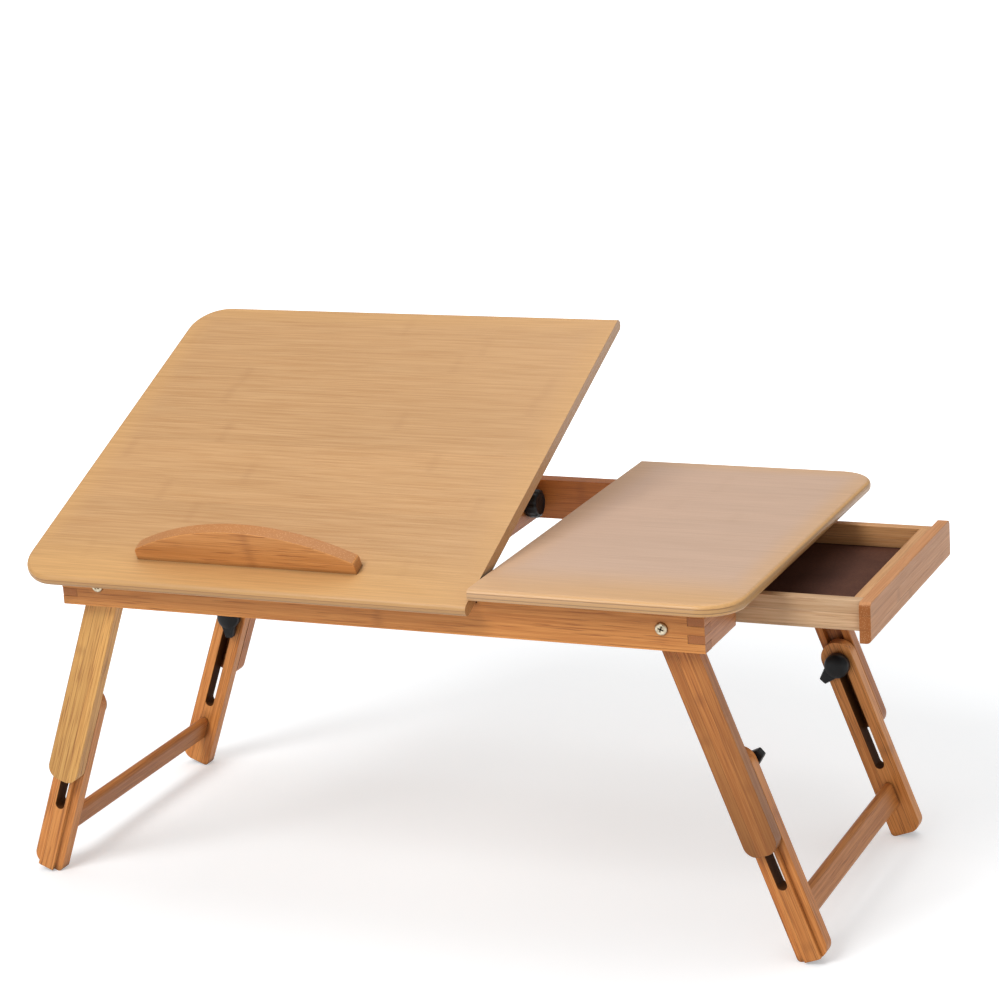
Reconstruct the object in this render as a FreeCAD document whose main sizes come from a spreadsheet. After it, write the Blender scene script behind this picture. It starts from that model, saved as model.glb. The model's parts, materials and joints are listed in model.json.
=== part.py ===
import FreeCAD, Part
import Sketcher
import math
import os
import re

# Bamboo laptop stand: two tops on a finger-jointed frame, splayed folding legs that
# telescope, a side drawer on runners, and a propped tilting top with a laptop stop.
#
# Part frame: +X right, +Y back, +Z up, millimetres. The origin is under the middle of
# the part's box at rest, at floor level. The layout places pieces from the middle of the
# tops. origin_shift moves it sideways, because the open drawer reaches further out than
# the feet do, and origin_setback moves it back, because the tilted nose leans forward.

# Driving sizes: name, value, what it is.
SIZES = [
    ("top_length", 500.0, "both tops together, left to right"),
    ("top_depth", 300.0, "front to back"),
    ("top_thickness", 8.0, "both tops"),
    ("tilt_top_length", 326.5, "tilting top, left to right"),
    ("split_gap", 1.5, "between the two tops"),
    ("corner_radius", 26.0, "plan corners of the tops"),
    ("edge_radius", 3.6, "rounded rim of the tops"),
    ("frame_side_inset", 25.0, "frame inside the ends of the tops"),
    ("frame_front_inset", 17.4, "frame inside the front edge"),
    ("frame_back_inset", 24.0, "frame inside the back edge"),
    ("rail_height", 28.0, "frame boards, top to bottom"),
    ("rail_thickness", 11.0, "frame boards"),
    ("finger_count", 5.0, "fingers in each box joint"),
    ("housing_depth", 3.0, "centre rail let into front and back rails"),
    ("centre_rail_place", 4.5, "middle of the centre rail, right of the tops' middle"),
    ("bevel_drop", 6.5, "front rail bevel under the tilting top, at its front face"),
    ("tilt_angle", 23.5, "tilting top above level, at rest"),
    ("barrel_radius", 2.0, "hinge knuckles"),
    ("hinge_pin_radius", 1.0, "hinge pins"),
    ("hinge_running_gap", 0.05, "pin in its knuckles, radial"),
    ("hinge_clearance", 0.3, "knuckles to the wood and to each other"),
    ("hinge_length", 32.0, "along the barrel"),
    ("leaf_thickness", 1.2, "hinge leaves"),
    ("leaf_reach", 16.0, "hinge leaves, from the barrel's middle"),
    ("hinge_first_place", -140.0, "left hinge, from the tops' middle"),
    ("hinge_second_place", -35.0, "right hinge, from the tops' middle"),
    ("stop_length", 160.0, "laptop stop"),
    ("stop_thickness", 9.5, "laptop stop, front to back"),
    ("stop_rise", 28.0, "laptop stop at its middle"),
    ("stop_end_rise", 8.0, "laptop stop at its ends"),
    ("stop_end_radius", 3.5, "laptop stop's blunt ends"),
    ("stop_setback", 24.0, "laptop stop behind the front edge"),
    ("stop_seat_depth", 1.0, "laptop stop let into the tilting top"),
    ("pivot_inset", 27.5, "leg pivots inside the ends of the frame"),
    ("leg_splay", 20.5, "legs outward from vertical, at rest"),
    ("leg_width", 22.4, "legs, seen from the front"),
    ("leg_side_gap", 0.2, "upper leg to frame rail"),
    ("leg_seat_gap", 0.3, "upper leg to the bevelled edge beside it"),
    ("upper_leg_thickness", 10.5, "upper legs, front to back"),
    ("upper_leg_length", 156.5, "pivot to the bottom of the upper leg"),
    ("upper_leg_corner", 8.5, "bottom corners of the upper legs"),
    ("groove_width", 12.0, "groove in the upper leg"),
    ("groove_depth", 5.0, "groove in the upper leg"),
    ("groove_start", 10.0, "top of the groove below the pivot"),
    ("rib_side_gap", 0.25, "lower leg's rib in the groove, each side"),
    ("rib_face_gap", 0.4, "lower leg's rib to the bottom of the groove"),
    ("leg_face_gap", 0.3, "lower leg to upper leg"),
    ("flange_thickness", 9.5, "lower legs behind the rib"),
    ("lower_leg_start", 89.5, "top of the lower leg below the pivot, at rest"),
    ("rib_setback", 1.5, "top of the rib below the top of the lower leg"),
    ("foot_reach", 231.2, "pivot to the end of the foot, at rest"),
    ("foot_outer_radius", 8.0, "foot corner away from the middle"),
    ("foot_inner_radius", 3.0, "foot corner towards the middle"),
    ("slot_width", 6.5, "slot in the lower leg"),
    ("slot_start", 102.5, "upper end centre of the slot below the pivot"),
    ("slot_end", 179.3, "lower end centre of the slot below the pivot"),
    ("stud_place", 104.5, "clamping stud below the pivot"),
    ("stud_radius", 3.0, "clamping stud"),
    ("stud_anchor", 3.5, "clamping stud inside the upper leg"),
    ("knob_radius", 10.0, "wing knob's hub"),
    ("knob_thickness", 9.5, "wing knob, along the stud"),
    ("knob_rim_radius", 1.5, "rounded rim of the knobs"),
    ("wing_reach", 14.5, "wing's tip centre from the knob's axis"),
    ("wing_tip_radius", 2.6, "wing's rounded tip"),
    ("wing_thickness", 6.0, "wing, along the stud"),
    ("wing_turn", 30.0, "wing away from straight down the leg"),
    ("knob_face_gap", 0.3, "knob to the face that it clamps"),
    ("knob_bore_gap", 0.05, "stud in its knob, radial"),
    ("knob_cap", 1.5, "closed end of the knobs"),
    ("stretcher_place", 202.0, "middle of the stretcher below the pivot"),
    ("stretcher_width", 18.0, "stretcher, along the leg"),
    ("stretcher_thickness", 7.0, "stretcher, across the leg"),
    ("tenon_length", 6.0, "stretcher's tenons"),
    ("tenon_width", 13.0, "stretcher's tenons, along the leg"),
    ("tenon_thickness", 5.0, "stretcher's tenons, across the leg"),
    ("pivot_screw_radius", 2.0, "leg pivot screws"),
    ("screw_running_gap", 0.05, "pivot screw in its leg, radial"),
    ("screw_head_radius", 4.0, "leg pivot screws' heads"),
    ("screw_head_height", 1.9, "leg pivot screws' heads"),
    ("screw_head_round", 1.3, "rounded edge of the screws' heads"),
    ("nut_radius", 3.6, "pivot nuts, across corners / 2"),
    ("nut_thickness", 3.0, "pivot nuts"),
    ("nut_gap", 0.2, "pivot nut to the leg"),
    ("prop_pivot_inset", 15.0, "prop pivot in front of the back rail"),
    ("prop_pivot_height", 15.0, "prop pivot above the bottom of the frame"),
    ("prop_length", 150.0, "prop arm, pivot to the centre of its tip"),
    ("prop_thickness", 9.0, "prop arm, side to side"),
    ("prop_root_radius", 7.0, "prop arm round its pivot"),
    ("prop_tip_radius", 4.0, "prop arm's tip"),
    ("prop_gap", 0.3, "prop arm to rail and to notched strip"),
    ("strip_thickness", 6.0, "notched strip under the tilting top"),
    ("strip_length", 70.0, "notched strip"),
    ("strip_width", 12.0, "notched strip"),
    ("strip_start", 60.0, "notched strip behind the hinge axis"),
    ("notch_count", 5.0, "notches in the strip"),
    ("notch_depth", 2.0, "notches in the strip"),
    ("drawer_out", 85.4, "drawer's front face outside the frame, at rest"),
    ("opening_start", 55.1, "drawer opening behind the frame's front"),
    ("opening_end_margin", 20.5, "drawer opening in front of the frame's back"),
    ("drawer_front_gap", 1.5, "front board to the sides of its opening"),
    ("drawer_front_height", 26.0, "drawer's front board"),
    ("drawer_front_sink", 6.6, "front board below the bottom of the frame"),
    ("drawer_front_thickness", 7.5, "drawer's front board"),
    ("drawer_front_corner", 3.5, "upper corners of the front board"),
    ("opening_height", 22.4, "drawer opening above the bottom of the frame"),
    ("drawer_length", 118.0, "drawer, front face to the ends of its sides"),
    ("drawer_box_inset", 7.0, "drawer side inside the near end of the front board"),
    ("drawer_box_far_inset", 13.8, "drawer side inside the far end of the front board"),
    ("drawer_side_thickness", 7.0, "drawer sides, back and inner front"),
    ("drawer_side_height", 19.5, "drawer sides"),
    ("drawer_side_sink", 1.1, "drawer sides below the bottom of the frame"),
    ("drawer_back_inset", 8.0, "drawer back in front of the ends of its sides"),
    ("drawer_back_height", 26.0, "drawer back, high enough to stop at the end rail"),
    ("drawer_bottom_thickness", 3.0, "drawer bottom"),
    ("drawer_bottom_lift", 2.0, "drawer bottom above the lower edge of the sides"),
    ("bottom_groove_depth", 3.0, "groove round the drawer bottom"),
    ("fit_gap", 0.1, "glued and slid-in pieces, each side"),
    ("runner_length", 100.0, "drawer runners"),
    ("runner_thickness", 3.2, "drawer runners"),
    ("runner_side_gap", 0.4, "runner to drawer side"),
    ("ledge_reach", 5.0, "runner's ledge from its upright web"),
    ("ledge_thickness", 3.0, "runner's ledge"),
    ("ledge_gap", 0.3, "runner's ledge below the drawer side"),
]

# Sizes worked out from the driving ones, in the order in which they build on each other.
FORMULAS = [
    ("finger_height", "rail_height / finger_count"),
    ("frame_half", "top_length / 2 - frame_side_inset"),
    ("frame_front", "frame_front_inset - top_depth / 2"),
    ("frame_back", "top_depth / 2 - frame_back_inset"),
    ("frame_depth", "frame_back - frame_front"),
    ("tilt_top_right", "tilt_top_length - top_length / 2"),
    ("fixed_top_left", "tilt_top_right + split_gap"),
    ("pivot_side", "frame_half - pivot_inset"),
    ("foot_low_along", "(foot_reach - foot_inner_radius) * cos(leg_splay)"),
    ("foot_low_across", "(leg_width / 2 - foot_inner_radius) * sin(leg_splay)"),
    ("pivot_height", "foot_low_along + foot_low_across + foot_inner_radius"),
    ("foot_out_along", "(foot_reach - foot_outer_radius) * sin(leg_splay)"),
    ("foot_out_across", "(leg_width / 2 - foot_outer_radius) * cos(leg_splay)"),
    ("foot_side", "pivot_side + foot_out_along + foot_out_across + foot_outer_radius"),
    ("drawer_face", "frame_half + drawer_out"),
    ("origin_shift", "(max(drawer_face; foot_side) - foot_side) / 2"),
    ("frame_bottom", "pivot_height - rail_height / 2"),
    ("frame_top", "frame_bottom + rail_height"),
    ("hinge_drop", "barrel_radius + hinge_clearance"),
    ("hinge_height", "frame_top - hinge_drop"),
    ("hinge_place", "frame_front + rail_thickness - leaf_thickness / 2"),
    ("nose_back", "(top_depth / 2 + hinge_place - edge_radius) * cos(tilt_angle)"),
    ("nose_lean", "(hinge_drop + top_thickness - edge_radius) * sin(tilt_angle)"),
    ("nose_front", "hinge_place - nose_back - nose_lean - edge_radius"),
    ("origin_setback", "(top_depth / 2 + min(nose_front; -top_depth / 2)) / 2"),
    ("knuckle_length", "hinge_length / 3"),
    ("centre_rail_left", "centre_rail_place - rail_thickness / 2"),
    ("centre_rail_right", "centre_rail_place + rail_thickness / 2"),
    ("stop_arch_radius", "(stop_length ^ 2 / 4 + (stop_rise - stop_end_rise) ^ 2)"
                         " / (2 * (stop_rise - stop_end_rise))"),
    ("rib_width", "groove_width - 2 * rib_side_gap"),
    ("rib_height", "groove_depth - rib_face_gap + leg_face_gap"),
    ("leg_front_start", "rail_thickness + leg_side_gap"),
    ("leg_edge_reach", "leg_width / 2 / cos(leg_splay) + rail_height / 2 * tan(leg_splay)"),
    ("leg_seat_depth", "leg_edge_reach + leg_seat_gap - pivot_inset + rail_thickness"),
    ("leg_seat_rise", "leg_seat_depth / tan(leg_splay)"),
    ("flange_start", "upper_leg_thickness + leg_face_gap"),
    ("flange_end", "flange_start + flange_thickness"),
    ("knob_start", "flange_end + knob_face_gap"),
    ("stretcher_span", "frame_depth - 2 * leg_front_start - 2 * flange_end"),
    ("prop_pivot_place", "frame_back - rail_thickness - prop_pivot_inset"),
    ("prop_pivot_level", "frame_bottom + prop_pivot_height"),
    ("prop_run", "prop_pivot_place - hinge_place"),
    ("prop_offset", "hinge_height - prop_pivot_level + (hinge_drop - strip_thickness - prop_gap"
                    " - prop_tip_radius) / cos(tilt_angle)"),
    ("prop_angle", "asin((prop_run * sin(tilt_angle) + prop_offset * cos(tilt_angle))"
                   " / prop_length) / 1 deg - tilt_angle"),
    ("opening_width", "frame_depth - opening_start - opening_end_margin"),
    ("drawer_front_width", "opening_width - 2 * drawer_front_gap"),
    ("drawer_box_width", "drawer_front_width - drawer_box_inset - drawer_box_far_inset"),
    ("drawer_front_near", "frame_front + opening_start + drawer_front_gap"),
    ("drawer_box_near", "drawer_front_near + drawer_box_inset"),
    ("drawer_side_length", "drawer_length - drawer_front_thickness"),
    ("drawer_side_bottom", "frame_bottom - drawer_side_sink"),
    ("drawer_rear_end", "drawer_face - drawer_length"),
    ("drawer_inner_width", "drawer_box_width - 2 * drawer_side_thickness"),
    ("drawer_inner_front", "drawer_face - drawer_front_thickness - drawer_side_thickness"),
    ("drawer_inner_back", "drawer_rear_end + drawer_back_inset + drawer_side_thickness"),
    ("drawer_inner_length", "drawer_inner_front - drawer_inner_back"),
    ("runner_drop", "frame_top - drawer_side_bottom + ledge_gap + ledge_thickness"),
]

PLANE_ROLES = {"XY": "XY_Plane", "XZ": "XZ_Plane", "YZ": "YZ_Plane"}
# Sign of each origin plane's normal along the axis that it crosses.
PLANE_SIGNS = {"XY": 1, "XZ": -1, "YZ": 1}
SIDES = {"left": -1, "right": 1}
ENDS = {"front": 1, "back": -1}
TOLERANCE = 1e-4

doc = FreeCAD.newDocument("laptop_stand")
sheet = doc.addObject("Spreadsheet::Sheet", "Sizes")
parts = []


def bound(text):
    """Put the sheet's name before each size named in an expression."""
    return re.sub(r"\b[a-z]+(?:_[a-z]+)+\b", lambda word: "Sizes." + word.group(0), str(text))


def fill_sheet():
    """Write the driving sizes as plain numbers and the rest as formulas."""
    row = 1
    for name, value, note in SIZES:
        sheet.set(f"A{row}", name)
        sheet.set(f"B{row}", str(value))
        sheet.set(f"C{row}", note)
        sheet.setAlias(f"B{row}", name)
        row += 1
    for name, formula in FORMULAS:
        sheet.set(f"A{row}", name)
        sheet.set(f"B{row}", "=" + formula)
        sheet.setAlias(f"B{row}", name)
        row += 1
    doc.recompute()


def value_of(text):
    """Value of an expression of the sheet's sizes."""
    result = sheet.evalExpression(bound(text))
    return float(getattr(result, "Value", result))


# ---------------------------------------------------------------- bodies and sketches

def new_body(label, x="0", y="0", z="0", axis=(0, 0, 1), angle="0"):
    """Body placed in the layout, turned about one axis through its own origin."""
    body = doc.addObject("PartDesign::Body", label)
    body.Label = label
    turn = FreeCAD.Rotation(FreeCAD.Vector(*axis), value_of(angle))
    body.Placement = FreeCAD.Placement(FreeCAD.Vector(), turn)
    body.setExpression("Placement.Base.x", bound(f"{x} - origin_shift"))
    body.setExpression("Placement.Base.y", bound(f"{y} - origin_setback"))
    body.setExpression("Placement.Base.z", bound(z))
    if angle != "0":
        body.setExpression("Placement.Rotation.Angle", bound(angle))
    parts.append(body)
    return body


def new_sketch(body, name, plane, level="0"):
    """Empty sketch parallel to one of the body's origin planes, at a level along its axis."""
    sketch = body.newObject("Sketcher::SketchObject", name)
    role = PLANE_ROLES[plane]
    support = [item for item in body.Origin.OriginFeatures if item.Role == role][0]
    sketch.AttachmentSupport = [(support, "")]
    sketch.MapMode = "FlatFace"
    sketch.setExpression("AttachmentOffset.Base.z", bound(f"{PLANE_SIGNS[plane]} * ({level})"))
    return sketch


def pin_point(sketch, geometry, position, x, y):
    """Fix a point of a sketch at two expressions."""
    for kind, text in (("DistanceX", x), ("DistanceY", y)):
        datum = value_of(text)
        index = sketch.addConstraint(Sketcher.Constraint(kind, -1, 1, geometry, position, datum))
        sketch.setExpression(f"Constraints[{index}]", bound(text))


def add_polygon(sketch, points):
    """Closed polygon through points given as pairs of expressions."""
    first = sketch.GeometryCount
    places = [FreeCAD.Vector(value_of(x), value_of(y), 0) for x, y in points]
    count = len(points)
    for index in range(count):
        following = places[(index + 1) % count]
        sketch.addGeometry(Part.LineSegment(places[index], following), False)
    for index in range(count):
        following = first + (index + 1) % count
        sketch.addConstraint(Sketcher.Constraint("Coincident", first + index, 2, following, 1))
    for index, (x, y) in enumerate(points):
        pin_point(sketch, first + index, 1, x, y)


def add_rectangle(sketch, left, low, right, high):
    """Rectangle between two opposite corners."""
    add_polygon(sketch, [(left, low), (right, low), (right, high), (left, high)])


def add_circle(sketch, x, y, radius):
    """Circle with its centre and radius bound."""
    centre = FreeCAD.Vector(value_of(x), value_of(y), 0)
    normal = FreeCAD.Vector(0, 0, 1)
    index = sketch.addGeometry(Part.Circle(centre, normal, value_of(radius)), False)
    pin_point(sketch, index, 3, x, y)
    datum = sketch.addConstraint(Sketcher.Constraint("Radius", index, value_of(radius)))
    sketch.setExpression(f"Constraints[{datum}]", bound(radius))


def add_link(sketch, start, start_radius, end, end_radius):
    """Two round ends joined by the straight lines that touch both."""
    first = sketch.GeometryCount
    first_centre = FreeCAD.Vector(value_of(start[0]), value_of(start[1]), 0)
    last_centre = FreeCAD.Vector(value_of(end[0]), value_of(end[1]), 0)
    along = last_centre - first_centre
    heading = math.atan2(along.y, along.x)
    radii = (value_of(start_radius), value_of(end_radius))
    lean = math.acos((radii[0] - radii[1]) / along.Length)
    normal = FreeCAD.Vector(0, 0, 1)
    first_arc = Part.ArcOfCircle(Part.Circle(first_centre, normal, radii[0]),
                                 heading + lean, heading - lean + 2 * math.pi)
    last_arc = Part.ArcOfCircle(Part.Circle(last_centre, normal, radii[1]),
                                heading - lean, heading + lean)
    sketch.addGeometry(first_arc, False)
    sketch.addGeometry(last_arc, False)
    sketch.addGeometry(Part.LineSegment(first_arc.EndPoint, last_arc.StartPoint), False)
    sketch.addGeometry(Part.LineSegment(last_arc.EndPoint, first_arc.StartPoint), False)
    for arc, arc_end, line, line_end in ((0, 2, 2, 1), (1, 1, 2, 2), (1, 2, 3, 1), (0, 1, 3, 2)):
        touch = Sketcher.Constraint("Tangent", first + arc, arc_end, first + line, line_end)
        sketch.addConstraint(touch)
    for offset, centre, radius in ((0, start, start_radius), (1, end, end_radius)):
        pin_point(sketch, first + offset, 3, *centre)
        limit = Sketcher.Constraint("Radius", first + offset, value_of(radius))
        datum = sketch.addConstraint(limit)
        sketch.setExpression(f"Constraints[{datum}]", bound(radius))


def add_tombstone(sketch, centre, foot):
    """Leg outline on the leg's width: a round top about a centre, and a square foot."""
    first = sketch.GeometryCount
    radius = value_of("leg_width / 2")
    middle = FreeCAD.Vector(0, value_of(centre), 0)
    base = value_of(foot)
    normal = FreeCAD.Vector(0, 0, 1)
    arc = Part.ArcOfCircle(Part.Circle(middle, normal, radius), 0, math.pi)
    left_foot = FreeCAD.Vector(-radius, base, 0)
    right_foot = FreeCAD.Vector(radius, base, 0)
    sketch.addGeometry(arc, False)
    sketch.addGeometry(Part.LineSegment(arc.EndPoint, left_foot), False)
    sketch.addGeometry(Part.LineSegment(left_foot, right_foot), False)
    sketch.addGeometry(Part.LineSegment(right_foot, arc.StartPoint), False)
    sketch.addConstraint(Sketcher.Constraint("Tangent", first, 2, first + 1, 1))
    sketch.addConstraint(Sketcher.Constraint("Coincident", first + 1, 2, first + 2, 1))
    sketch.addConstraint(Sketcher.Constraint("Coincident", first + 2, 2, first + 3, 1))
    sketch.addConstraint(Sketcher.Constraint("Tangent", first + 3, 2, first, 1))
    pin_point(sketch, first, 3, "0", centre)
    pin_point(sketch, first + 1, 2, "-leg_width / 2", foot)
    pin_point(sketch, first + 3, 1, "leg_width / 2", foot)


def pad(body, sketch, length, toward=1):
    """Pad a sketch by a length, up or down the axis that its plane crosses."""
    feature = body.newObject("PartDesign::Pad", sketch.Name + "Pad")
    feature.Profile = sketch
    feature.Reversed = toward * plane_sign(sketch) < 0
    feature.setExpression("Length", bound(length))
    finish_feature(body, feature)


def pocket(body, sketch, depth, toward=1):
    """Cut a sketch into the body, up or down the axis that its plane crosses."""
    before = body.Tip.Shape.Volume
    feature = body.newObject("PartDesign::Pocket", sketch.Name + "Pocket")
    feature.Profile = sketch
    feature.Reversed = toward * plane_sign(sketch) > 0
    feature.setExpression("Length", bound(depth))
    finish_feature(body, feature)
    if feature.Shape.Volume > before - TOLERANCE:
        raise RuntimeError(f"{body.Label}: {sketch.Name} cuts nothing")


def plane_sign(sketch):
    """Sign of the normal of the origin plane that a sketch lies on."""
    role = sketch.AttachmentSupport[0][0].Role
    return next(PLANE_SIGNS[key] for key, name in PLANE_ROLES.items() if name == role)


def finish_feature(body, feature):
    """Make a feature the body's tip and build it."""
    body.Tip = feature
    doc.recompute()


def soften(body, name, radius, wanted):
    """Fillet the edges that a test picks, in the body's own coordinates."""
    base = body.Tip
    numbered = enumerate(base.Shape.Edges, 1)
    picked = [f"Edge{number}" for number, edge in numbered if wanted(edge)]
    if not picked:
        raise RuntimeError(f"{body.Label}: {name} finds no edge")
    feature = body.newObject("PartDesign::Fillet", name)
    feature.Base = (base, picked)
    feature.setExpression("Radius", bound(radius))
    finish_feature(body, feature)


def near(value, target):
    """True where two lengths agree."""
    return abs(value - target) < TOLERANCE


def flat_along(edge, axis, level):
    """True where an edge lies in the plane at a level of an axis."""
    start, end = edge.ParameterRange
    points = [edge.valueAt(start), edge.valueAt((start + end) / 2), edge.valueAt(end)]
    return all(near(getattr(point, axis.lower()), level) for point in points)


def runs_along(edge, axis):
    """True where an edge is a straight line along an axis."""
    direction = {"X": (1, 0, 0), "Y": (0, 1, 0), "Z": (0, 0, 1)}[axis]
    if not isinstance(edge.Curve, Part.Line):
        return False
    return near(abs(edge.Curve.Direction.dot(FreeCAD.Vector(*direction))), 1)


# ---------------------------------------------------------------- tops and laptop stop

def round_top(body, outer, underside, inner):
    """Round a top's plan corners and rim, and leave its edge at the split square."""
    upper = value_of(f"({underside}) + top_thickness")
    lower = value_of(underside)
    outer_side = value_of(outer)
    split_side = value_of(inner)
    soften(body, "PlanCorners", "corner_radius",
           lambda edge: runs_along(edge, "Z") and flat_along(edge, "X", outer_side))
    for name, level in (("UpperRim", upper), ("LowerRim", lower)):
        soften(body, name, "edge_radius",
               lambda edge: flat_along(edge, "Z", level) and not flat_along(edge, "X", split_side))


def make_fixed_top():
    """Small top at the right, seated on the frame."""
    body = new_body("fixed_top", z="frame_top")
    sketch = new_sketch(body, "FixedTopPlan", "XY")
    add_rectangle(sketch, "fixed_top_left", "-top_depth / 2", "top_length / 2", "top_depth / 2")
    pad(body, sketch, "top_thickness")
    round_top(body, "top_length / 2", "0", "fixed_top_left")


def tilting_body(label):
    """Body in the tilting top's own frame, whose origin is on the hinge axis."""
    return new_body(label, y="hinge_place", z="hinge_height", axis=(1, 0, 0), angle="tilt_angle")


def make_tilt_top():
    """Large top at the left, hinged at its front."""
    body = tilting_body("tilt_top")
    sketch = new_sketch(body, "TiltTopPlan", "XY", "hinge_drop")
    add_rectangle(sketch, "-top_length / 2", "-top_depth / 2 - hinge_place",
                  "tilt_top_right", "top_depth / 2 - hinge_place")
    pad(body, sketch, "top_thickness")
    round_top(body, "-top_length / 2", "hinge_drop", "tilt_top_right")
    seat = new_sketch(body, "StopSeat", "XY", "hinge_drop + top_thickness")
    middle = "tilt_top_right - tilt_top_length / 2"
    half = "(stop_length / 2 + fit_gap)"
    front = "stop_setback - top_depth / 2 - hinge_place"
    add_rectangle(seat, f"{middle} - {half}", f"{front} - fit_gap",
                  f"{middle} + {half}", f"{front} + stop_thickness + fit_gap")
    pocket(body, seat, "stop_seat_depth", -1)


def make_laptop_stop():
    """Arched bar that keeps a laptop from sliding off the tilting top."""
    body = tilting_body("laptop_stop")
    front = "stop_setback - top_depth / 2 - hinge_place"
    sketch = new_sketch(body, "StopArch", "XZ", front)
    face = "hinge_drop + top_thickness"
    middle = "tilt_top_right - tilt_top_length / 2"
    add_arch(sketch, middle, face)
    pad(body, sketch, "stop_thickness")
    level = value_of(face + " + stop_end_rise")
    soften(body, "StopEnds", "stop_end_radius",
           lambda edge: runs_along(edge, "Y") and flat_along(edge, "Z", level))


def add_arch(sketch, middle, face):
    """Bar outline with a foot let into a face, short upright ends and an arched top."""
    left = f"({middle}) - stop_length / 2"
    right = f"({middle}) + stop_length / 2"
    base = f"({face}) - stop_seat_depth"
    shoulder = f"({face}) + stop_end_rise"
    corners = [(left, shoulder), (left, base), (right, base), (right, shoulder)]
    places = [FreeCAD.Vector(value_of(x), value_of(y), 0) for x, y in corners]
    crown = FreeCAD.Vector(value_of(middle), value_of(f"({face}) + stop_rise"), 0)
    for index in range(3):
        sketch.addGeometry(Part.LineSegment(places[index], places[index + 1]), False)
    sketch.addGeometry(Part.Arc(places[3], crown, places[0]), False)
    for index in range(3):
        sketch.addConstraint(Sketcher.Constraint("Coincident", index, 2, index + 1, 1))
    sketch.addConstraint(Sketcher.Constraint("Coincident", 3, 2, 0, 1))
    for index in range(3):
        pin_point(sketch, index, 1, *corners[index])
    pin_point(sketch, 2, 2, *corners[3])
    limit = Sketcher.Constraint("Radius", 3, value_of("stop_arch_radius"))
    datum = sketch.addConstraint(limit)
    sketch.setExpression(f"Constraints[{datum}]", bound("stop_arch_radius"))


# ---------------------------------------------------------------- frame

def add_fingers(sketch, rows, half_length):
    """Notches at both ends of a board, at every second finger from a given row."""
    for row in rows:
        low = f"{row} * finger_height"
        high = f"{row + 1} * finger_height"
        add_rectangle(sketch, f"-({half_length})", low, f"rail_thickness - ({half_length})", high)
        add_rectangle(sketch, f"({half_length}) - rail_thickness", low, half_length, high)


def finger_rows(start):
    """Rows cut from a board, so that the boards of a corner interlock."""
    return range(start, int(value_of("finger_count")), 2)


def make_long_rail(label, place, inward, start_name):
    """Front or back rail: fingers at both ends, a housing for the centre rail, pivot holes."""
    body = new_body(label, y=place, z="frame_bottom")
    board = new_sketch(body, start_name + "Board", "XZ")
    add_rectangle(board, "-frame_half", "0", "frame_half", "rail_height")
    pad(body, board, "rail_thickness", inward)
    fingers = new_sketch(body, start_name + "Fingers", "XZ")
    add_fingers(fingers, finger_rows(1), "frame_half")
    pocket(body, fingers, "rail_thickness", inward)
    housing = new_sketch(body, start_name + "Housing", "XZ", f"{inward} * rail_thickness")
    add_rectangle(housing, "centre_rail_left", "0", "centre_rail_right", "rail_height")
    pocket(body, housing, "housing_depth", -inward)
    holes = new_sketch(body, start_name + "Holes", "XZ")
    for side in SIDES.values():
        add_circle(holes, f"{side} * pivot_side", "rail_height / 2", "pivot_screw_radius")
    pocket(body, holes, "rail_thickness", inward)
    return body


def add_bevel(sketch, front="0"):
    """Section of the wedge that clears the swinging nose of the tilting top."""
    add_polygon(sketch, [(front, "rail_height"), (front, "rail_height - bevel_drop"),
                         (f"{front} + rail_thickness", "rail_height")])


def cut_hinge_seats(body):
    """Let the fixed leaves into the inner face and clear the knuckles above them."""
    seats = new_sketch(body, "HingeSeats", "XZ", "rail_thickness")
    reliefs = new_sketch(body, "KnuckleReliefs", "XZ", "rail_thickness")
    for place in ("hinge_first_place", "hinge_second_place"):
        left = f"{place} - hinge_length / 2 - hinge_clearance"
        right = f"{place} + hinge_length / 2 + hinge_clearance"
        add_rectangle(seats, left, "rail_height - hinge_drop - leaf_reach", right,
                      "rail_height - 2 * hinge_drop")
        add_rectangle(reliefs, left, "rail_height - 2 * hinge_drop", right, "rail_height")
    pocket(body, seats, "leaf_thickness", -1)
    pocket(body, reliefs, "leaf_thickness / 2 + hinge_drop", -1)


def make_front_rail():
    """Front rail, bevelled under the tilting top and cut for its hinges."""
    body = make_long_rail("front_rail", "frame_front", 1, "FrontRail")
    bevel = new_sketch(body, "FrontBevel", "YZ", "-frame_half")
    add_bevel(bevel)
    pocket(body, bevel, "frame_half + tilt_top_right")
    cut_hinge_seats(body)


def make_end_rail(label, side):
    """End rail with the fingers that its neighbours leave free, bevelled beside the legs."""
    body = new_body(label, x=f"{side} * frame_half", y="frame_front", z="frame_bottom")
    board = new_sketch(body, "EndBoard", "YZ")
    add_rectangle(board, "0", "0", "frame_depth", "rail_height")
    pad(body, board, "rail_thickness", -side)
    fingers = new_sketch(body, "EndFingers", "YZ")
    for row in finger_rows(0):
        low = f"{row} * finger_height"
        high = f"{row + 1} * finger_height"
        add_rectangle(fingers, "0", low, "rail_thickness", high)
        add_rectangle(fingers, "frame_depth - rail_thickness", low, "frame_depth", high)
    pocket(body, fingers, "rail_thickness", -side)
    seat = new_sketch(body, "LegSeat", "XZ")
    inner = f"{-side} * rail_thickness"
    add_polygon(seat, [(inner, "0"), (inner, "leg_seat_rise"),
                       (f"{-side} * (rail_thickness - leg_seat_depth)", "0")])
    pocket(body, seat, "frame_depth", 1)
    return body


def make_left_end_rail():
    """Left end rail; its front fingers follow the front rail's bevel."""
    body = make_end_rail("left_end_rail", -1)
    bevel = new_sketch(body, "EndBevel", "YZ")
    add_bevel(bevel)
    pocket(body, bevel, "rail_thickness", 1)


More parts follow.
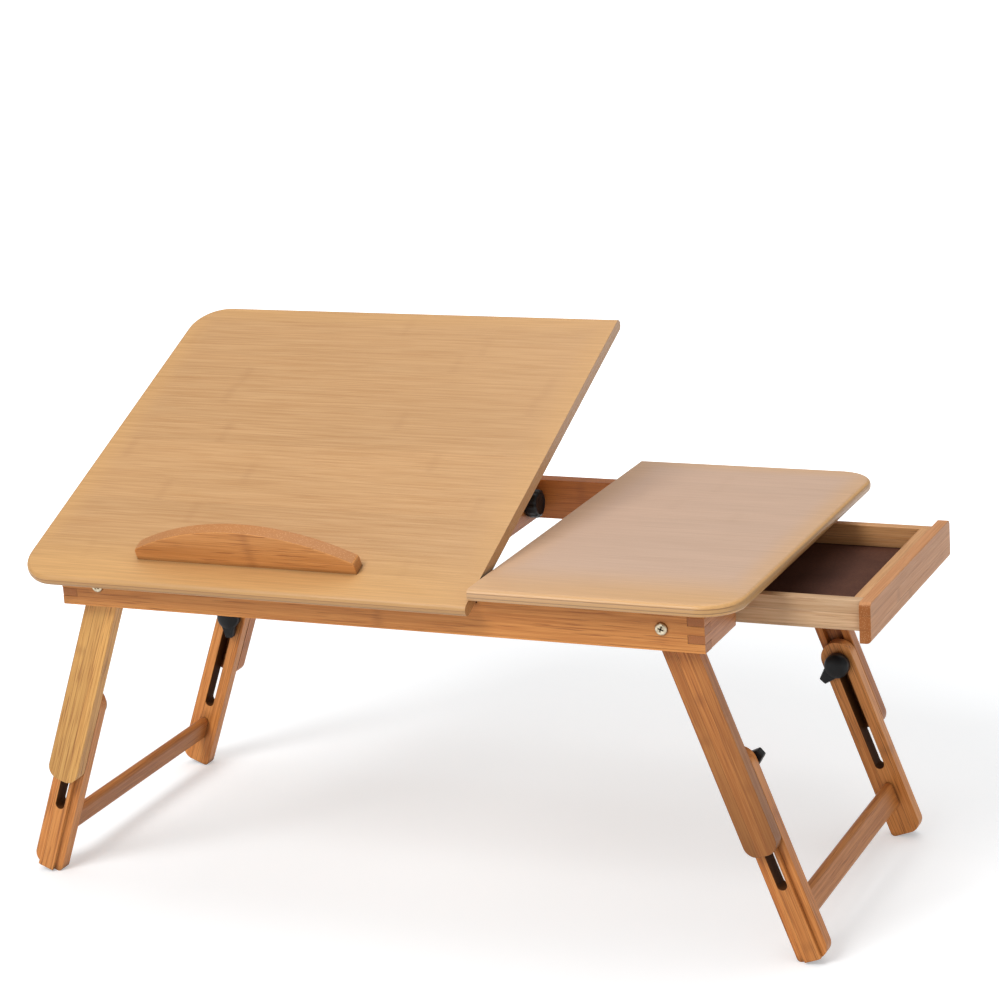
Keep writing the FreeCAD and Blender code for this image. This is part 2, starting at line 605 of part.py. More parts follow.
def make_right_end_rail():
    """Right end rail with the drawer's opening, open below."""
    body = make_end_rail("right_end_rail", 1)
    opening = new_sketch(body, "DrawerOpening", "YZ")
    add_rectangle(opening, "opening_start", "0", "opening_start + opening_width", "opening_height")
    pocket(body, opening, "rail_thickness", -1)


def make_centre_rail():
    """Centre rail, housed in the front and back rails, with the prop bolt's hole."""
    body = new_body("centre_rail", x="centre_rail_left", z="frame_bottom")
    board = new_sketch(body, "CentreBoard", "YZ")
    near_end = "frame_front + rail_thickness - housing_depth"
    far_end = "frame_back - rail_thickness + housing_depth"
    add_rectangle(board, near_end, "0", far_end, "rail_height")
    pad(body, board, "rail_thickness")
    bevel = new_sketch(body, "CentreBevel", "YZ")
    add_bevel(bevel, "frame_front")
    pocket(body, bevel, "rail_thickness", 1)
    hole = new_sketch(body, "PropBoltHole", "YZ")
    add_circle(hole, "prop_pivot_place", "prop_pivot_height", "stud_radius")
    pocket(body, hole, "rail_thickness", 1)


# ---------------------------------------------------------------- hinges

def add_knuckles(body, name, places):
    """Knuckles along X about the body's origin, each from one place to another."""
    for number, (start, end) in enumerate(places):
        ring = new_sketch(body, f"{name}{number}", "YZ", start)
        add_circle(ring, "0", "0", "barrel_radius")
        pad(body, ring, f"({end}) - ({start})")


def bore_knuckles(body, radius):
    """Bore the whole barrel for its pin."""
    bore = new_sketch(body, "PinBore", "YZ", "-hinge_length")
    add_circle(bore, "0", "0", radius)
    pocket(body, bore, "2 * hinge_length")


def make_fixed_leaf(label, place):
    """Leaf on the rail's inner face with the two outer knuckles."""
    body = new_body(label, x=place, y="hinge_place", z="hinge_height")
    plate = new_sketch(body, "FixedLeaf", "XZ", "-leaf_thickness / 2")
    gap = "knuckle_length / 2 + hinge_clearance"
    neck = "-hinge_drop"
    half = "hinge_length / 2"
    add_polygon(plate, [("-hinge_length / 2", "-leaf_reach"), (half, "-leaf_reach"), (half, "0"),
                        (gap, "0"), (gap, neck), (f"-({gap})", neck), (f"-({gap})", "0"),
                        ("-hinge_length / 2", "0")])
    pad(body, plate, "leaf_thickness")
    add_knuckles(body, "OuterKnuckle", [(f"-({half})", f"-({gap})"), (gap, half)])
    bore_knuckles(body, "hinge_pin_radius")


def make_top_leaf(label, place):
    """Leaf under the tilting top with the middle knuckle."""
    body = tilting_body(label)
    body.setExpression("Placement.Base.x", bound(f"{place} - origin_shift"))
    plate = new_sketch(body, "TopLeaf", "XY", "hinge_drop - leaf_thickness")
    root = "barrel_radius + hinge_clearance"
    half = "hinge_length / 2"
    neck = "knuckle_length / 2"
    add_polygon(plate, [(f"-({neck})", "0"), (neck, "0"), (neck, root), (half, root),
                        (half, "leaf_reach"), (f"-({half})", "leaf_reach"),
                        (f"-({half})", root), (f"-({neck})", root)])
    pad(body, plate, "leaf_thickness")
    add_knuckles(body, "MiddleKnuckle", [(f"-({neck})", neck)])
    bore_knuckles(body, "hinge_pin_radius + hinge_running_gap")


def make_hinge_pin(label, place):
    """Pin through the three knuckles."""
    body = new_body(label, x=place, y="hinge_place", z="hinge_height")
    ring = new_sketch(body, "PinSection", "YZ", "-hinge_length / 2")
    add_circle(ring, "0", "0", "hinge_pin_radius")
    pad(body, ring, "hinge_length")


# ---------------------------------------------------------------- legs

def leg_body(label, side, end):
    """Body in a leg's own frame: the origin on the pivot, the leg down along -Z."""
    face = "frame_front + leg_front_start" if end > 0 else "frame_back - leg_front_start"
    return new_body(label, x=f"{side} * pivot_side", y=face, z="pivot_height",
                    axis=(0, -side, 0), angle="leg_splay")


def leg_names():
    """Every leg's corner: its side and end, by name and by sign."""
    for side_name, side in SIDES.items():
        for end_name, end in ENDS.items():
            yield f"{side_name}_{end_name}", side, end


def make_upper_leg(corner, side, end):
    """Upper leg: round top on the pivot, groove for the lower leg's rib on its inner face."""
    body = leg_body(f"upper_leg_{corner}", side, end)
    outline = new_sketch(body, "UpperOutline", "XZ")
    add_tombstone(outline, "0", "-upper_leg_length")
    pad(body, outline, "upper_leg_thickness", end)
    foot = -value_of("upper_leg_length")
    soften(body, "UpperFoot", "upper_leg_corner",
           lambda edge: runs_along(edge, "Y") and flat_along(edge, "Z", foot))
    groove = new_sketch(body, "RibGroove", "XZ", f"{end} * upper_leg_thickness")
    add_link(groove, ("0", "-groove_start - groove_width / 2"), "groove_width / 2",
             ("0", "-upper_leg_length - groove_width"), "groove_width / 2")
    pocket(body, groove, "groove_depth", -end)
    pivot = new_sketch(body, "PivotBore", "XZ")
    add_circle(pivot, "0", "0", "pivot_screw_radius + screw_running_gap")
    pocket(body, pivot, "upper_leg_thickness", end)
    seat = new_sketch(body, "StudSeat", "XZ", f"{end} * (upper_leg_thickness - groove_depth)")
    add_circle(seat, "0", "-stud_place", "stud_radius")
    pocket(body, seat, "stud_anchor", -end)


def make_lower_leg(corner, side, end):
    """Lower leg: flange with a round top, rib in the upper leg's groove, slot, mortise."""
    body = leg_body(f"lower_leg_{corner}", side, end)
    outline = new_sketch(body, "LowerOutline", "XZ", f"{end} * flange_start")
    add_tombstone(outline, "-lower_leg_start - leg_width / 2", "-foot_reach")
    pad(body, outline, "flange_thickness", end)
    rib = new_sketch(body, "Rib", "XZ", f"{end} * flange_start")
    add_link(rib, ("0", "-lower_leg_start - rib_setback - rib_width / 2"), "rib_width / 2",
             ("0", "-foot_reach - rib_width"), "rib_width / 2")
    pad(body, rib, "rib_height", -end)
    trim = new_sketch(body, "FootTrim", "XZ", f"{end} * (flange_start - rib_height)")
    add_rectangle(trim, "-leg_width", "-foot_reach - 2 * rib_width", "leg_width", "-foot_reach")
    pocket(body, trim, "rib_height + flange_thickness", end)
    round_foot(body, side)
    slot = new_sketch(body, "ClampSlot", "XZ", f"{end} * (flange_start - rib_height)")
    add_link(slot, ("0", "-slot_start"), "slot_width / 2", ("0", "-slot_end"), "slot_width / 2")
    pocket(body, slot, "rib_height + flange_thickness", end)
    mortise = new_sketch(body, "Mortise", "XZ", f"{end} * flange_end")
    add_tenon_outline(mortise, "tenon_thickness / 2")
    pocket(body, mortise, "tenon_length", -end)


def round_foot(body, side):
    """Round the foot's two corners, the outer one more than the inner one."""
    foot = -value_of("foot_reach")
    half = value_of("leg_width / 2")
    for name, radius, across in (("OuterFoot", "foot_outer_radius", side * half),
                                 ("InnerFoot", "foot_inner_radius", -side * half)):
        soften(body, name, radius,
               lambda edge: runs_along(edge, "Y") and flat_along(edge, "Z", foot)
               and flat_along(edge, "X", across))


def add_tenon_outline(sketch, radius):
    """Oblong tenon outline with full-round ends, standing along the leg."""
    reach = "(tenon_width - tenon_thickness) / 2"
    add_link(sketch, ("0", f"{reach} - stretcher_place"), radius,
             ("0", f"-stretcher_place - {reach}"), radius)


def make_stretcher(side_name, side):
    """Slat with rounded edges between the lower legs of one side, tenoned at both ends."""
    body = leg_body(f"stretcher_{side_name}", side, 1)
    slat = new_sketch(body, "Slat", "XZ", "flange_end")
    reach = "(stretcher_width - stretcher_thickness) / 2"
    add_link(slat, ("0", f"{reach} - stretcher_place"), "stretcher_thickness / 2",
             ("0", f"-stretcher_place - {reach}"), "stretcher_thickness / 2")
    pad(body, slat, "stretcher_span")
    tenon = new_sketch(body, "Tenons", "XZ", "flange_end - tenon_length + fit_gap")
    add_tenon_outline(tenon, "tenon_thickness / 2 - fit_gap")
    pad(body, tenon, "stretcher_span + 2 * (tenon_length - fit_gap)")


def make_stud(corner, side, end):
    """Threaded stud fixed in the upper leg, through the slot and into the knob."""
    body = leg_body(f"clamp_stud_{corner}", side, end)
    root = "upper_leg_thickness - groove_depth - stud_anchor"
    section = new_sketch(body, "StudSection", "XZ", f"{end} * ({root})")
    add_circle(section, "0", "-stud_place", "stud_radius")
    pad(body, section, f"knob_start + knob_thickness - knob_cap - knob_face_gap - ({root})", end)


def make_wing_knob(corner, side, end):
    """Wing knob: round hub with a blind bore and one pointed wing."""
    body = leg_body(f"wing_knob_{corner}", side, end)
    hub = new_sketch(body, "Hub", "XZ", f"{end} * knob_start")
    add_circle(hub, "0", "-stud_place", "knob_radius")
    pad(body, hub, "knob_thickness", end)
    outer = value_of(f"{end} * (knob_start + knob_thickness)")
    soften(body, "HubRim", "knob_rim_radius", lambda edge: flat_along(edge, "Y", outer))
    wing = new_sketch(body, "Wing", "XZ",
                      f"{end} * (knob_start + (knob_thickness - wing_thickness) / 2)")
    tip_across = f"{-side} * wing_reach * sin(wing_turn)"
    tip_along = "-stud_place - wing_reach * cos(wing_turn)"
    add_link(wing, ("0", "-stud_place"), "knob_radius - knob_rim_radius",
             (tip_across, tip_along), "wing_tip_radius")
    pad(body, wing, "wing_thickness", end)
    bore = new_sketch(body, "KnobBore", "XZ", f"{end} * knob_start")
    add_circle(bore, "0", "-stud_place", "stud_radius + knob_bore_gap")
    pocket(body, bore, "knob_thickness - knob_cap", end)


def make_pivot_screw(corner, side, end):
    """Pan-head screw through rail and leg."""
    face = "frame_front" if end > 0 else "frame_back"
    body = new_body(f"pivot_screw_{corner}", x=f"{side} * pivot_side", y=face, z="pivot_height")
    head = new_sketch(body, "ScrewHead", "XZ")
    add_circle(head, "0", "0", "screw_head_radius")
    pad(body, head, "screw_head_height", -end)
    dome = value_of(f"{-end} * screw_head_height")
    soften(body, "HeadDome", "screw_head_round", lambda edge: flat_along(edge, "Y", dome))
    shank = new_sketch(body, "ScrewShank", "XZ")
    add_circle(shank, "0", "0", "pivot_screw_radius")
    pad(body, shank, "leg_front_start + upper_leg_thickness + nut_gap + nut_thickness", end)


def make_pivot_nut(corner, side, end):
    """Hexagon nut on the inner end of a pivot screw."""
    face = "frame_front" if end > 0 else "frame_back"
    body = new_body(f"pivot_nut_{corner}", x=f"{side} * pivot_side", y=face, z="pivot_height")
    start = "leg_front_start + upper_leg_thickness + nut_gap"
    plan = new_sketch(body, "NutPlan", "XZ", f"{end} * ({start})")
    corners = [(f"nut_radius * cos({turn})", f"nut_radius * sin({turn})")
               for turn in range(0, 360, 60)]
    add_polygon(plan, corners)
    add_circle(plan, "0", "0", "pivot_screw_radius")
    pad(body, plan, "nut_thickness", end)


# ---------------------------------------------------------------- prop

def make_prop_arm():
    """Tapered arm beside the centre rail that bears under the notched strip."""
    body = new_body("prop_arm", x="centre_rail_left - prop_gap - prop_thickness",
                    y="prop_pivot_place", z="prop_pivot_level",
                    axis=(-1, 0, 0), angle="prop_angle")
    arm = new_sketch(body, "ArmOutline", "YZ")
    add_link(arm, ("0", "0"), "prop_root_radius", ("-prop_length", "0"), "prop_tip_radius")
    pad(body, arm, "prop_thickness")
    bore = new_sketch(body, "ArmBore", "YZ")
    add_circle(bore, "0", "0", "stud_radius + knob_bore_gap")
    pocket(body, bore, "prop_thickness", 1)


def make_prop_bolt():
    """Bolt through arm and centre rail, with its head on the arm's free side."""
    body = new_body("prop_bolt", x="centre_rail_left", y="prop_pivot_place",
                    z="prop_pivot_level")
    shank = new_sketch(body, "BoltShank", "YZ", "-2 * prop_gap - prop_thickness")
    add_circle(shank, "0", "0", "stud_radius")
    pad(body, shank, "2 * prop_gap + prop_thickness + rail_thickness + knob_thickness - knob_cap")
    head = new_sketch(body, "BoltHead", "YZ", "-2 * prop_gap - prop_thickness")
    add_circle(head, "0", "0", "prop_root_radius - knob_rim_radius")
    pad(body, head, "screw_head_height", -1)


def make_prop_knob():
    """Round knob that clamps the prop arm, on the rail's open side."""
    body = new_body("prop_knob", x="centre_rail_right + knob_face_gap", y="prop_pivot_place",
                    z="prop_pivot_level")
    hub = new_sketch(body, "PropHub", "YZ")
    add_circle(hub, "0", "0", "knob_radius")
    pad(body, hub, "knob_thickness")
    outer = value_of("knob_thickness")
    soften(body, "PropRim", "knob_rim_radius", lambda edge: flat_along(edge, "X", outer))
    bore = new_sketch(body, "PropKnobBore", "YZ")
    add_circle(bore, "0", "0", "stud_radius + knob_bore_gap")
    pocket(body, bore, "knob_thickness - knob_cap", 1)


def make_notched_strip():
    """Strip under the tilting top, with ratchet notches for the prop arm's tip."""
    body = tilting_body("notched_strip")
    right = "centre_rail_left - prop_gap"
    block = new_sketch(body, "StripPlan", "XY", "hinge_drop - strip_thickness")
    add_rectangle(block, f"{right} - strip_width", "strip_start", right,
                  "strip_start + strip_length")
    pad(body, block, "strip_thickness")
    pitch = "strip_length / (notch_count + 1)"
    notches = new_sketch(body, "Notches", "YZ", f"{right} - strip_width")
    low = "hinge_drop - strip_thickness"
    for number in range(1, int(value_of("notch_count")) + 1):
        place = f"strip_start + {number} * {pitch}"
        add_polygon(notches, [(place, low), (f"{place} + {pitch} / 2", low),
                              (place, f"{low} + notch_depth")])
    pocket(body, notches, "strip_width")


# ---------------------------------------------------------------- drawer

def make_drawer_front():
    """Front board, inset in the end rail's opening when the drawer is closed."""
    body = new_body("drawer_front", x="drawer_face", y="drawer_front_near",
                    z="frame_bottom - drawer_front_sink")
    board = new_sketch(body, "FrontBoard", "YZ")
    add_rectangle(board, "0", "0", "drawer_front_width", "drawer_front_height")
    pad(body, board, "drawer_front_thickness", -1)
    upper = value_of("drawer_front_height")
    soften(body, "FrontCorners", "drawer_front_corner",
           lambda edge: runs_along(edge, "X") and flat_along(edge, "Z", upper))


def add_side_groove(sketch, start, end):
    """Groove for the drawer's bottom along a board, from one place to another."""
    add_rectangle(sketch, start, "drawer_bottom_lift", end,
                  "drawer_bottom_lift + drawer_bottom_thickness + fit_gap")


def make_drawer_side(label, place, outward):
    """Drawer side with a groove for the bottom on its inner face."""
    body = new_body(label, x="drawer_rear_end", y=place, z="drawer_side_bottom")
    board = new_sketch(body, "SideBoard", "XZ")
    add_rectangle(board, "0", "0", "drawer_side_length", "drawer_side_height")
    pad(body, board, "drawer_side_thickness", -outward)
    bottom = new_sketch(body, "BottomGroove", "XZ", f"{-outward} * drawer_side_thickness")
    start = "drawer_back_inset + drawer_side_thickness - bottom_groove_depth"
    end = "drawer_side_length - drawer_side_thickness + bottom_groove_depth"
    add_side_groove(bottom, start, end)
    pocket(body, bottom, "bottom_groove_depth", outward)


def make_cross_board(label, place, height, inward):
    """Board between the drawer's sides with a groove for the bottom on one face."""
    body = new_body(label, x=place, y="drawer_box_near + drawer_side_thickness",
                    z="drawer_side_bottom")
    board = new_sketch(body, "CrossBoard", "YZ")
    add_rectangle(board, "0", "0", "drawer_inner_width", height)
    pad(body, board, "drawer_side_thickness", -inward)
    groove = new_sketch(body, "CrossGroove", "YZ")
    add_side_groove(groove, "0", "drawer_inner_width")
    pocket(body, groove, "bottom_groove_depth", -inward)


def make_drawer_bottom():
    """Thin board held in the grooves of the four drawer boards."""
    body = new_body("drawer_bottom", x="drawer_inner_back", y="drawer_box_near",
                    z="drawer_side_bottom + drawer_bottom_lift")
    panel = new_sketch(body, "BottomPanel", "XY")
    reach = "bottom_groove_depth - fit_gap"
    near_edge = f"drawer_side_thickness - ({reach})"
    add_rectangle(panel, f"-({reach})", near_edge, f"drawer_inner_length + {reach}",
                  f"drawer_box_width - ({near_edge})")
    pad(body, panel, "drawer_bottom_thickness")


def make_runner(label, place, inward):
    """Runner under the fixed top: a web beside the drawer side, a ledge below its edge."""
    body = new_body(label, x="frame_half - rail_thickness", y=place, z="frame_top")
    section = new_sketch(body, "RunnerSection", "YZ", "-runner_length")
    web = f"{-inward} * (runner_side_gap + runner_thickness)"
    face = f"{-inward} * runner_side_gap"
    tip = f"{inward} * (ledge_reach - runner_side_gap)"
    ledge = "ledge_thickness - runner_drop"
    add_polygon(section, [(web, "0"), (web, "-runner_drop"), (tip, "-runner_drop"),
                          (tip, ledge), (face, ledge), (face, "0")])
    pad(body, section, "runner_length")


# ---------------------------------------------------------------- assembly

def make_frame():
    """Finger-jointed frame with its centre rail and the fixed top."""
    make_front_rail()
    make_long_rail("back_rail", "frame_back", -1, "BackRail")
    make_left_end_rail()
    make_right_end_rail()
    make_centre_rail()
    make_fixed_top()


def make_tilting_top():
    """Tilting top with its stop, hinges and prop."""
    make_tilt_top()
    make_laptop_stop()
    for word, place in (("left", "hinge_first_place"), ("right", "hinge_second_place")):
        make_fixed_leaf(f"hinge_rail_leaf_{word}", place)
        make_top_leaf(f"hinge_top_leaf_{word}", place)
        make_hinge_pin(f"hinge_pin_{word}", place)
    make_prop_arm()
    make_prop_bolt()
    make_prop_knob()
    make_notched_strip()


def make_legs():
    """Four telescoping legs, joined in pairs by a stretcher."""
    for corner, side, end in leg_names():
        make_upper_leg(corner, side, end)
        make_lower_leg(corner, side, end)
        make_stud(corner, side, end)
        make_wing_knob(corner, side, end)
        make_pivot_screw(corner, side, end)
        make_pivot_nut(corner, side, end)
    for side_name, side in SIDES.items():
        make_stretcher(side_name, side)


def make_drawer():
    """Drawer box with its front board, and the runners that carry it."""
    far_side = "drawer_box_near + drawer_box_width"
    make_drawer_front()
    make_drawer_side("drawer_side_front", "drawer_box_near", -1)
    make_drawer_side("drawer_side_back", far_side, 1)
    make_cross_board("drawer_inner_front", "drawer_inner_front", "drawer_side_height", -1)
    make_cross_board("drawer_back", "drawer_inner_back", "drawer_back_height", 1)
    make_drawer_bottom()
    make_runner("drawer_runner_front", "drawer_box_near", 1)
    make_runner("drawer_runner_back", far_side, -1)


def check_document():
    """Stop if any object failed or any sub-part has no valid solid."""
    doc.recompute()
    for item in doc.Objects:
        if "Invalid" in item.State or "Error" in item.State:
            raise RuntimeError(f"{item.Label} is {item.State}")
    for body in parts:
        shape = body.Shape
        if shape.isNull() or not shape.isValid() or not shape.Solids:
            raise RuntimeError(f"{body.Label} has no valid solid")


def write_parts():
    """Write each sub-part to a STEP file named after it."""
    os.makedirs("parts", exist_ok=True)
    for body in parts:
        body.Shape.exportStep(f"parts/{body.Label}.step")


fill_sheet()
make_frame()
make_tilting_top()
make_legs()
make_drawer()
check_document()
write_parts()
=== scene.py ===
"""Dresses the bamboo laptop stand in its finishes and sets it in a plain studio."""

import json
import logging
import math
import random
from dataclasses import dataclass, replace
from enum import Enum
from typing import Sequence

import bmesh
import bpy
from mathutils import Matrix, Vector

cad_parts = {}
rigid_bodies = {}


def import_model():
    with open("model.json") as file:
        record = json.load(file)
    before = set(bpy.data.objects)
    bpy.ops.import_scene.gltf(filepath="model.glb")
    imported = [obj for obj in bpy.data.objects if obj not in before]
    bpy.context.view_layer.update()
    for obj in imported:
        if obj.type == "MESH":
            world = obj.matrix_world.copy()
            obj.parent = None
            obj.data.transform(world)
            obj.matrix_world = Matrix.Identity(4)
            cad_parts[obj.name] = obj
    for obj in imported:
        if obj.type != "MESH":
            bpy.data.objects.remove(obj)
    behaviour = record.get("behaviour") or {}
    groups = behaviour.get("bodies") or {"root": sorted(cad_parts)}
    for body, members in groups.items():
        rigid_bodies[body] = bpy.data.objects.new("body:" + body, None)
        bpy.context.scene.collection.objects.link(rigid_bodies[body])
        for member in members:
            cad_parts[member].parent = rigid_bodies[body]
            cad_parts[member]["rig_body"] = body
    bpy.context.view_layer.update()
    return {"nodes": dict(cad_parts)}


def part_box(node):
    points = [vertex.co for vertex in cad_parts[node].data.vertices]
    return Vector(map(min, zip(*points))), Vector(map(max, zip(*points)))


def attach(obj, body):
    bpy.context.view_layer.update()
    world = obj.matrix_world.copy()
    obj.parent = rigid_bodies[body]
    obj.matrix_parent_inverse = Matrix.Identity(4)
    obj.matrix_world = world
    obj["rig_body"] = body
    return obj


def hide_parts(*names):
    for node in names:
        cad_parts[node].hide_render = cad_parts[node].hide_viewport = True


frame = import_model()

log = logging.getLogger("laptop_stand")

MM = 0.001
MERGE = 0.002 * MM
FLAT = math.radians(0.4)
TILT = math.radians(23.5)
SPLAY = math.radians(20.5)
PROP_RISE = math.radians(13.57)

X, Y, Z = (1, 0, 0), (0, 1, 0), (0, 0, 1)
LEFT_DOWN = (-math.sin(SPLAY), 0, -math.cos(SPLAY))
LEFT_SIDE = (math.cos(SPLAY), 0, -math.sin(SPLAY))
RIGHT_DOWN = (math.sin(SPLAY), 0, -math.cos(SPLAY))
RIGHT_SIDE = (math.cos(SPLAY), 0, math.sin(SPLAY))


class Grain(Enum):
    """Which way a board's grain, width and thickness run, as three unit directions."""

    ALONG_STAND = (X, Y, Z)
    TILTED_TOP = (X, (0, math.cos(TILT), math.sin(TILT)), (0, -math.sin(TILT), math.cos(TILT)))
    LONG_RAIL = (X, Z, Y)
    CROSS_RAIL = (Y, Z, X)
    LEFT_LEG = (LEFT_DOWN, LEFT_SIDE, Y)
    RIGHT_LEG = (RIGHT_DOWN, RIGHT_SIDE, Y)
    LEFT_STRETCHER = (Y, LEFT_DOWN, LEFT_SIDE)
    RIGHT_STRETCHER = (Y, RIGHT_DOWN, RIGHT_SIDE)
    PROP = (
        (0, -math.cos(PROP_RISE), math.sin(PROP_RISE)),
        (0, math.sin(PROP_RISE), math.cos(PROP_RISE)),
        X,
    )

    def turn(self) -> Matrix:
        """Rotation from the stand's frame to the board's own.

        Returns:
            A matrix whose rows are the grain, width and thickness directions.
        """
        along, across, through = (Vector(axis) for axis in self.value)
        if along.cross(across).dot(through) < 0:
            across = -across
        return Matrix((along, across, through))


class Slot(Enum):
    """Names of the record's material slots."""

    TOP = "bamboo_top"
    FRAME = "bamboo_frame"
    LIGHT = "bamboo_light"
    PLASTIC = "black_plastic"
    STEEL = "plated_steel"


Colour = tuple[float, float, float]
Triple = tuple[float, float, float]
Socket = bpy.types.NodeSocket
Finish = bpy.types.Material
Piece = bpy.types.Object
Shell = bmesh.types.BMesh

# How fast each pattern changes along, across and through a board, per mm.
WANDER = (0.012, 0.0, 0.0)
FIBRES = (0.012, 0.62, 0.62)
HAIRS = (0.03, 2.1, 2.1)
DASHES = (0.034, 1.35, 1.35)
CLOUDS = (0.007, 0.05, 0.05)
PORES = (0.6, 1.0, 1.0)


class Recipe:
    """Builds the nodes of one material from left to right."""

    def __init__(self, name: str) -> None:
        """Start an empty node material.

        Args:
            name: The material's name.
        """
        self.material = bpy.data.materials.new(name)
        self.material.use_nodes = True
        self.tree = self.material.node_tree
        self.tree.nodes.clear()

    def node(self, kind: str, links: dict | None = None, **settings: object) -> bpy.types.Node:
        """Add a node.

        Args:
            kind: The node's type.
            links: Sockets or values for its inputs, by name or number.
            settings: Properties of the node.

        Returns:
            The new node.
        """
        made = self.tree.nodes.new(kind)
        for key, value in settings.items():
            setattr(made, key, value)
        for key, value in (links or {}).items():
            if isinstance(value, Socket):
                self.tree.links.new(value, made.inputs[key])
            else:
                made.inputs[key].default_value = value
        return made

    def math(self, operation: str, *values: Socket | float, clamp: bool = False) -> Socket:
        """Combine numbers.

        Args:
            operation: The Math node's operation.
            values: Sockets or numbers.
            clamp: Whether to keep the result from 0 to 1.

        Returns:
            The result's socket.
        """
        links = dict(enumerate(values))
        made = self.node("ShaderNodeMath", links, operation=operation, use_clamp=clamp)
        return made.outputs[0]

    def vector(self, operation: str, *values: Socket | Sequence[float]) -> bpy.types.Node:
        """Combine vectors, and give the node whose outputs hold the result."""
        return self.node("ShaderNodeVectorMath", dict(enumerate(values)), operation=operation)

    def step(
        self, value: Socket, low: float, high: float, start: float = 0.0, end: float = 1.0
    ) -> Socket:
        """Smooth change from one level to another between two values.

        Args:
            value: The socket that drives it.
            low: Where the change begins.
            high: Where it ends.
            start: Level before.
            end: Level after.

        Returns:
            The result's socket.
        """
        links = {"Value": value, 1: low, 2: high, 3: start, 4: end}
        made = self.node("ShaderNodeMapRange", links, interpolation_type="SMOOTHSTEP")
        return made.outputs["Result"]

    def noise(
        self, vector: Socket, scale: float, detail: float = 2.0, rough: float = 0.5
    ) -> Socket:
        """Smooth noise from 0 to 1, with its octaves and how strong the finer ones are."""
        links = {"Vector": vector, "Scale": scale, "Detail": detail, "Roughness": rough}
        return self.node("ShaderNodeTexNoise", links).outputs["Fac"]

    def streaks(
        self, place: Socket, pace: Triple, detail: float = 2.0, rough: float = 0.5
    ) -> Socket:
        """Smooth noise that changes at its own pace along each axis."""
        stretched = self.vector("MULTIPLY", place, pace).outputs[0]
        return self.noise(stretched, 1.0, detail, rough)

    def grey(self, level: Socket) -> Socket:
        """Grey of a given brightness."""
        return self.node("ShaderNodeCombineColor", {0: level, 1: level, 2: level}).outputs[0]

    def blend(
        self,
        factor: Socket | float,
        first: Socket | Colour,
        second: Socket | Colour,
        mode: str = "MIX",
    ) -> Socket:
        """Mix two colours.

        Args:
            factor: Socket or share of the second colour.
            first: Socket or colour.
            second: Socket or colour.
            mode: The Mix node's blend type.

        Returns:
            The mixed colour's socket.
        """
        made = self.node("ShaderNodeMix", data_type="RGBA", blend_type=mode, clamp_factor=True)
        for slot, value in ((0, factor), (6, first), (7, second)):
            if isinstance(value, Socket):
                self.tree.links.new(value, made.inputs[slot])
            elif slot == 0:
                made.inputs[slot].default_value = value
            else:
                made.inputs[slot].default_value = (*value, 1.0)
        return made.outputs[2]

    def finish(self, links: dict, height: Socket | None = None, relief: float = 0.0) -> Finish:
        """Close the material with its surface shader.

        Args:
            links: Sockets or values for the shader's inputs.
            height: Socket of the surface's relief, if it has any.
            relief: Height of that relief in metres.

        Returns:
            The finished material.
        """
        if height is not None:
            bump = self.node("ShaderNodeBump", {"Height": height, "Distance": relief})
            links = {**links, "Normal": bump.outputs[0]}
        shader = self.node("ShaderNodeBsdfPrincipled", links)
        output = self.node("ShaderNodeOutputMaterial")
        self.tree.links.new(shader.outputs[0], output.inputs[0])
        return self.material


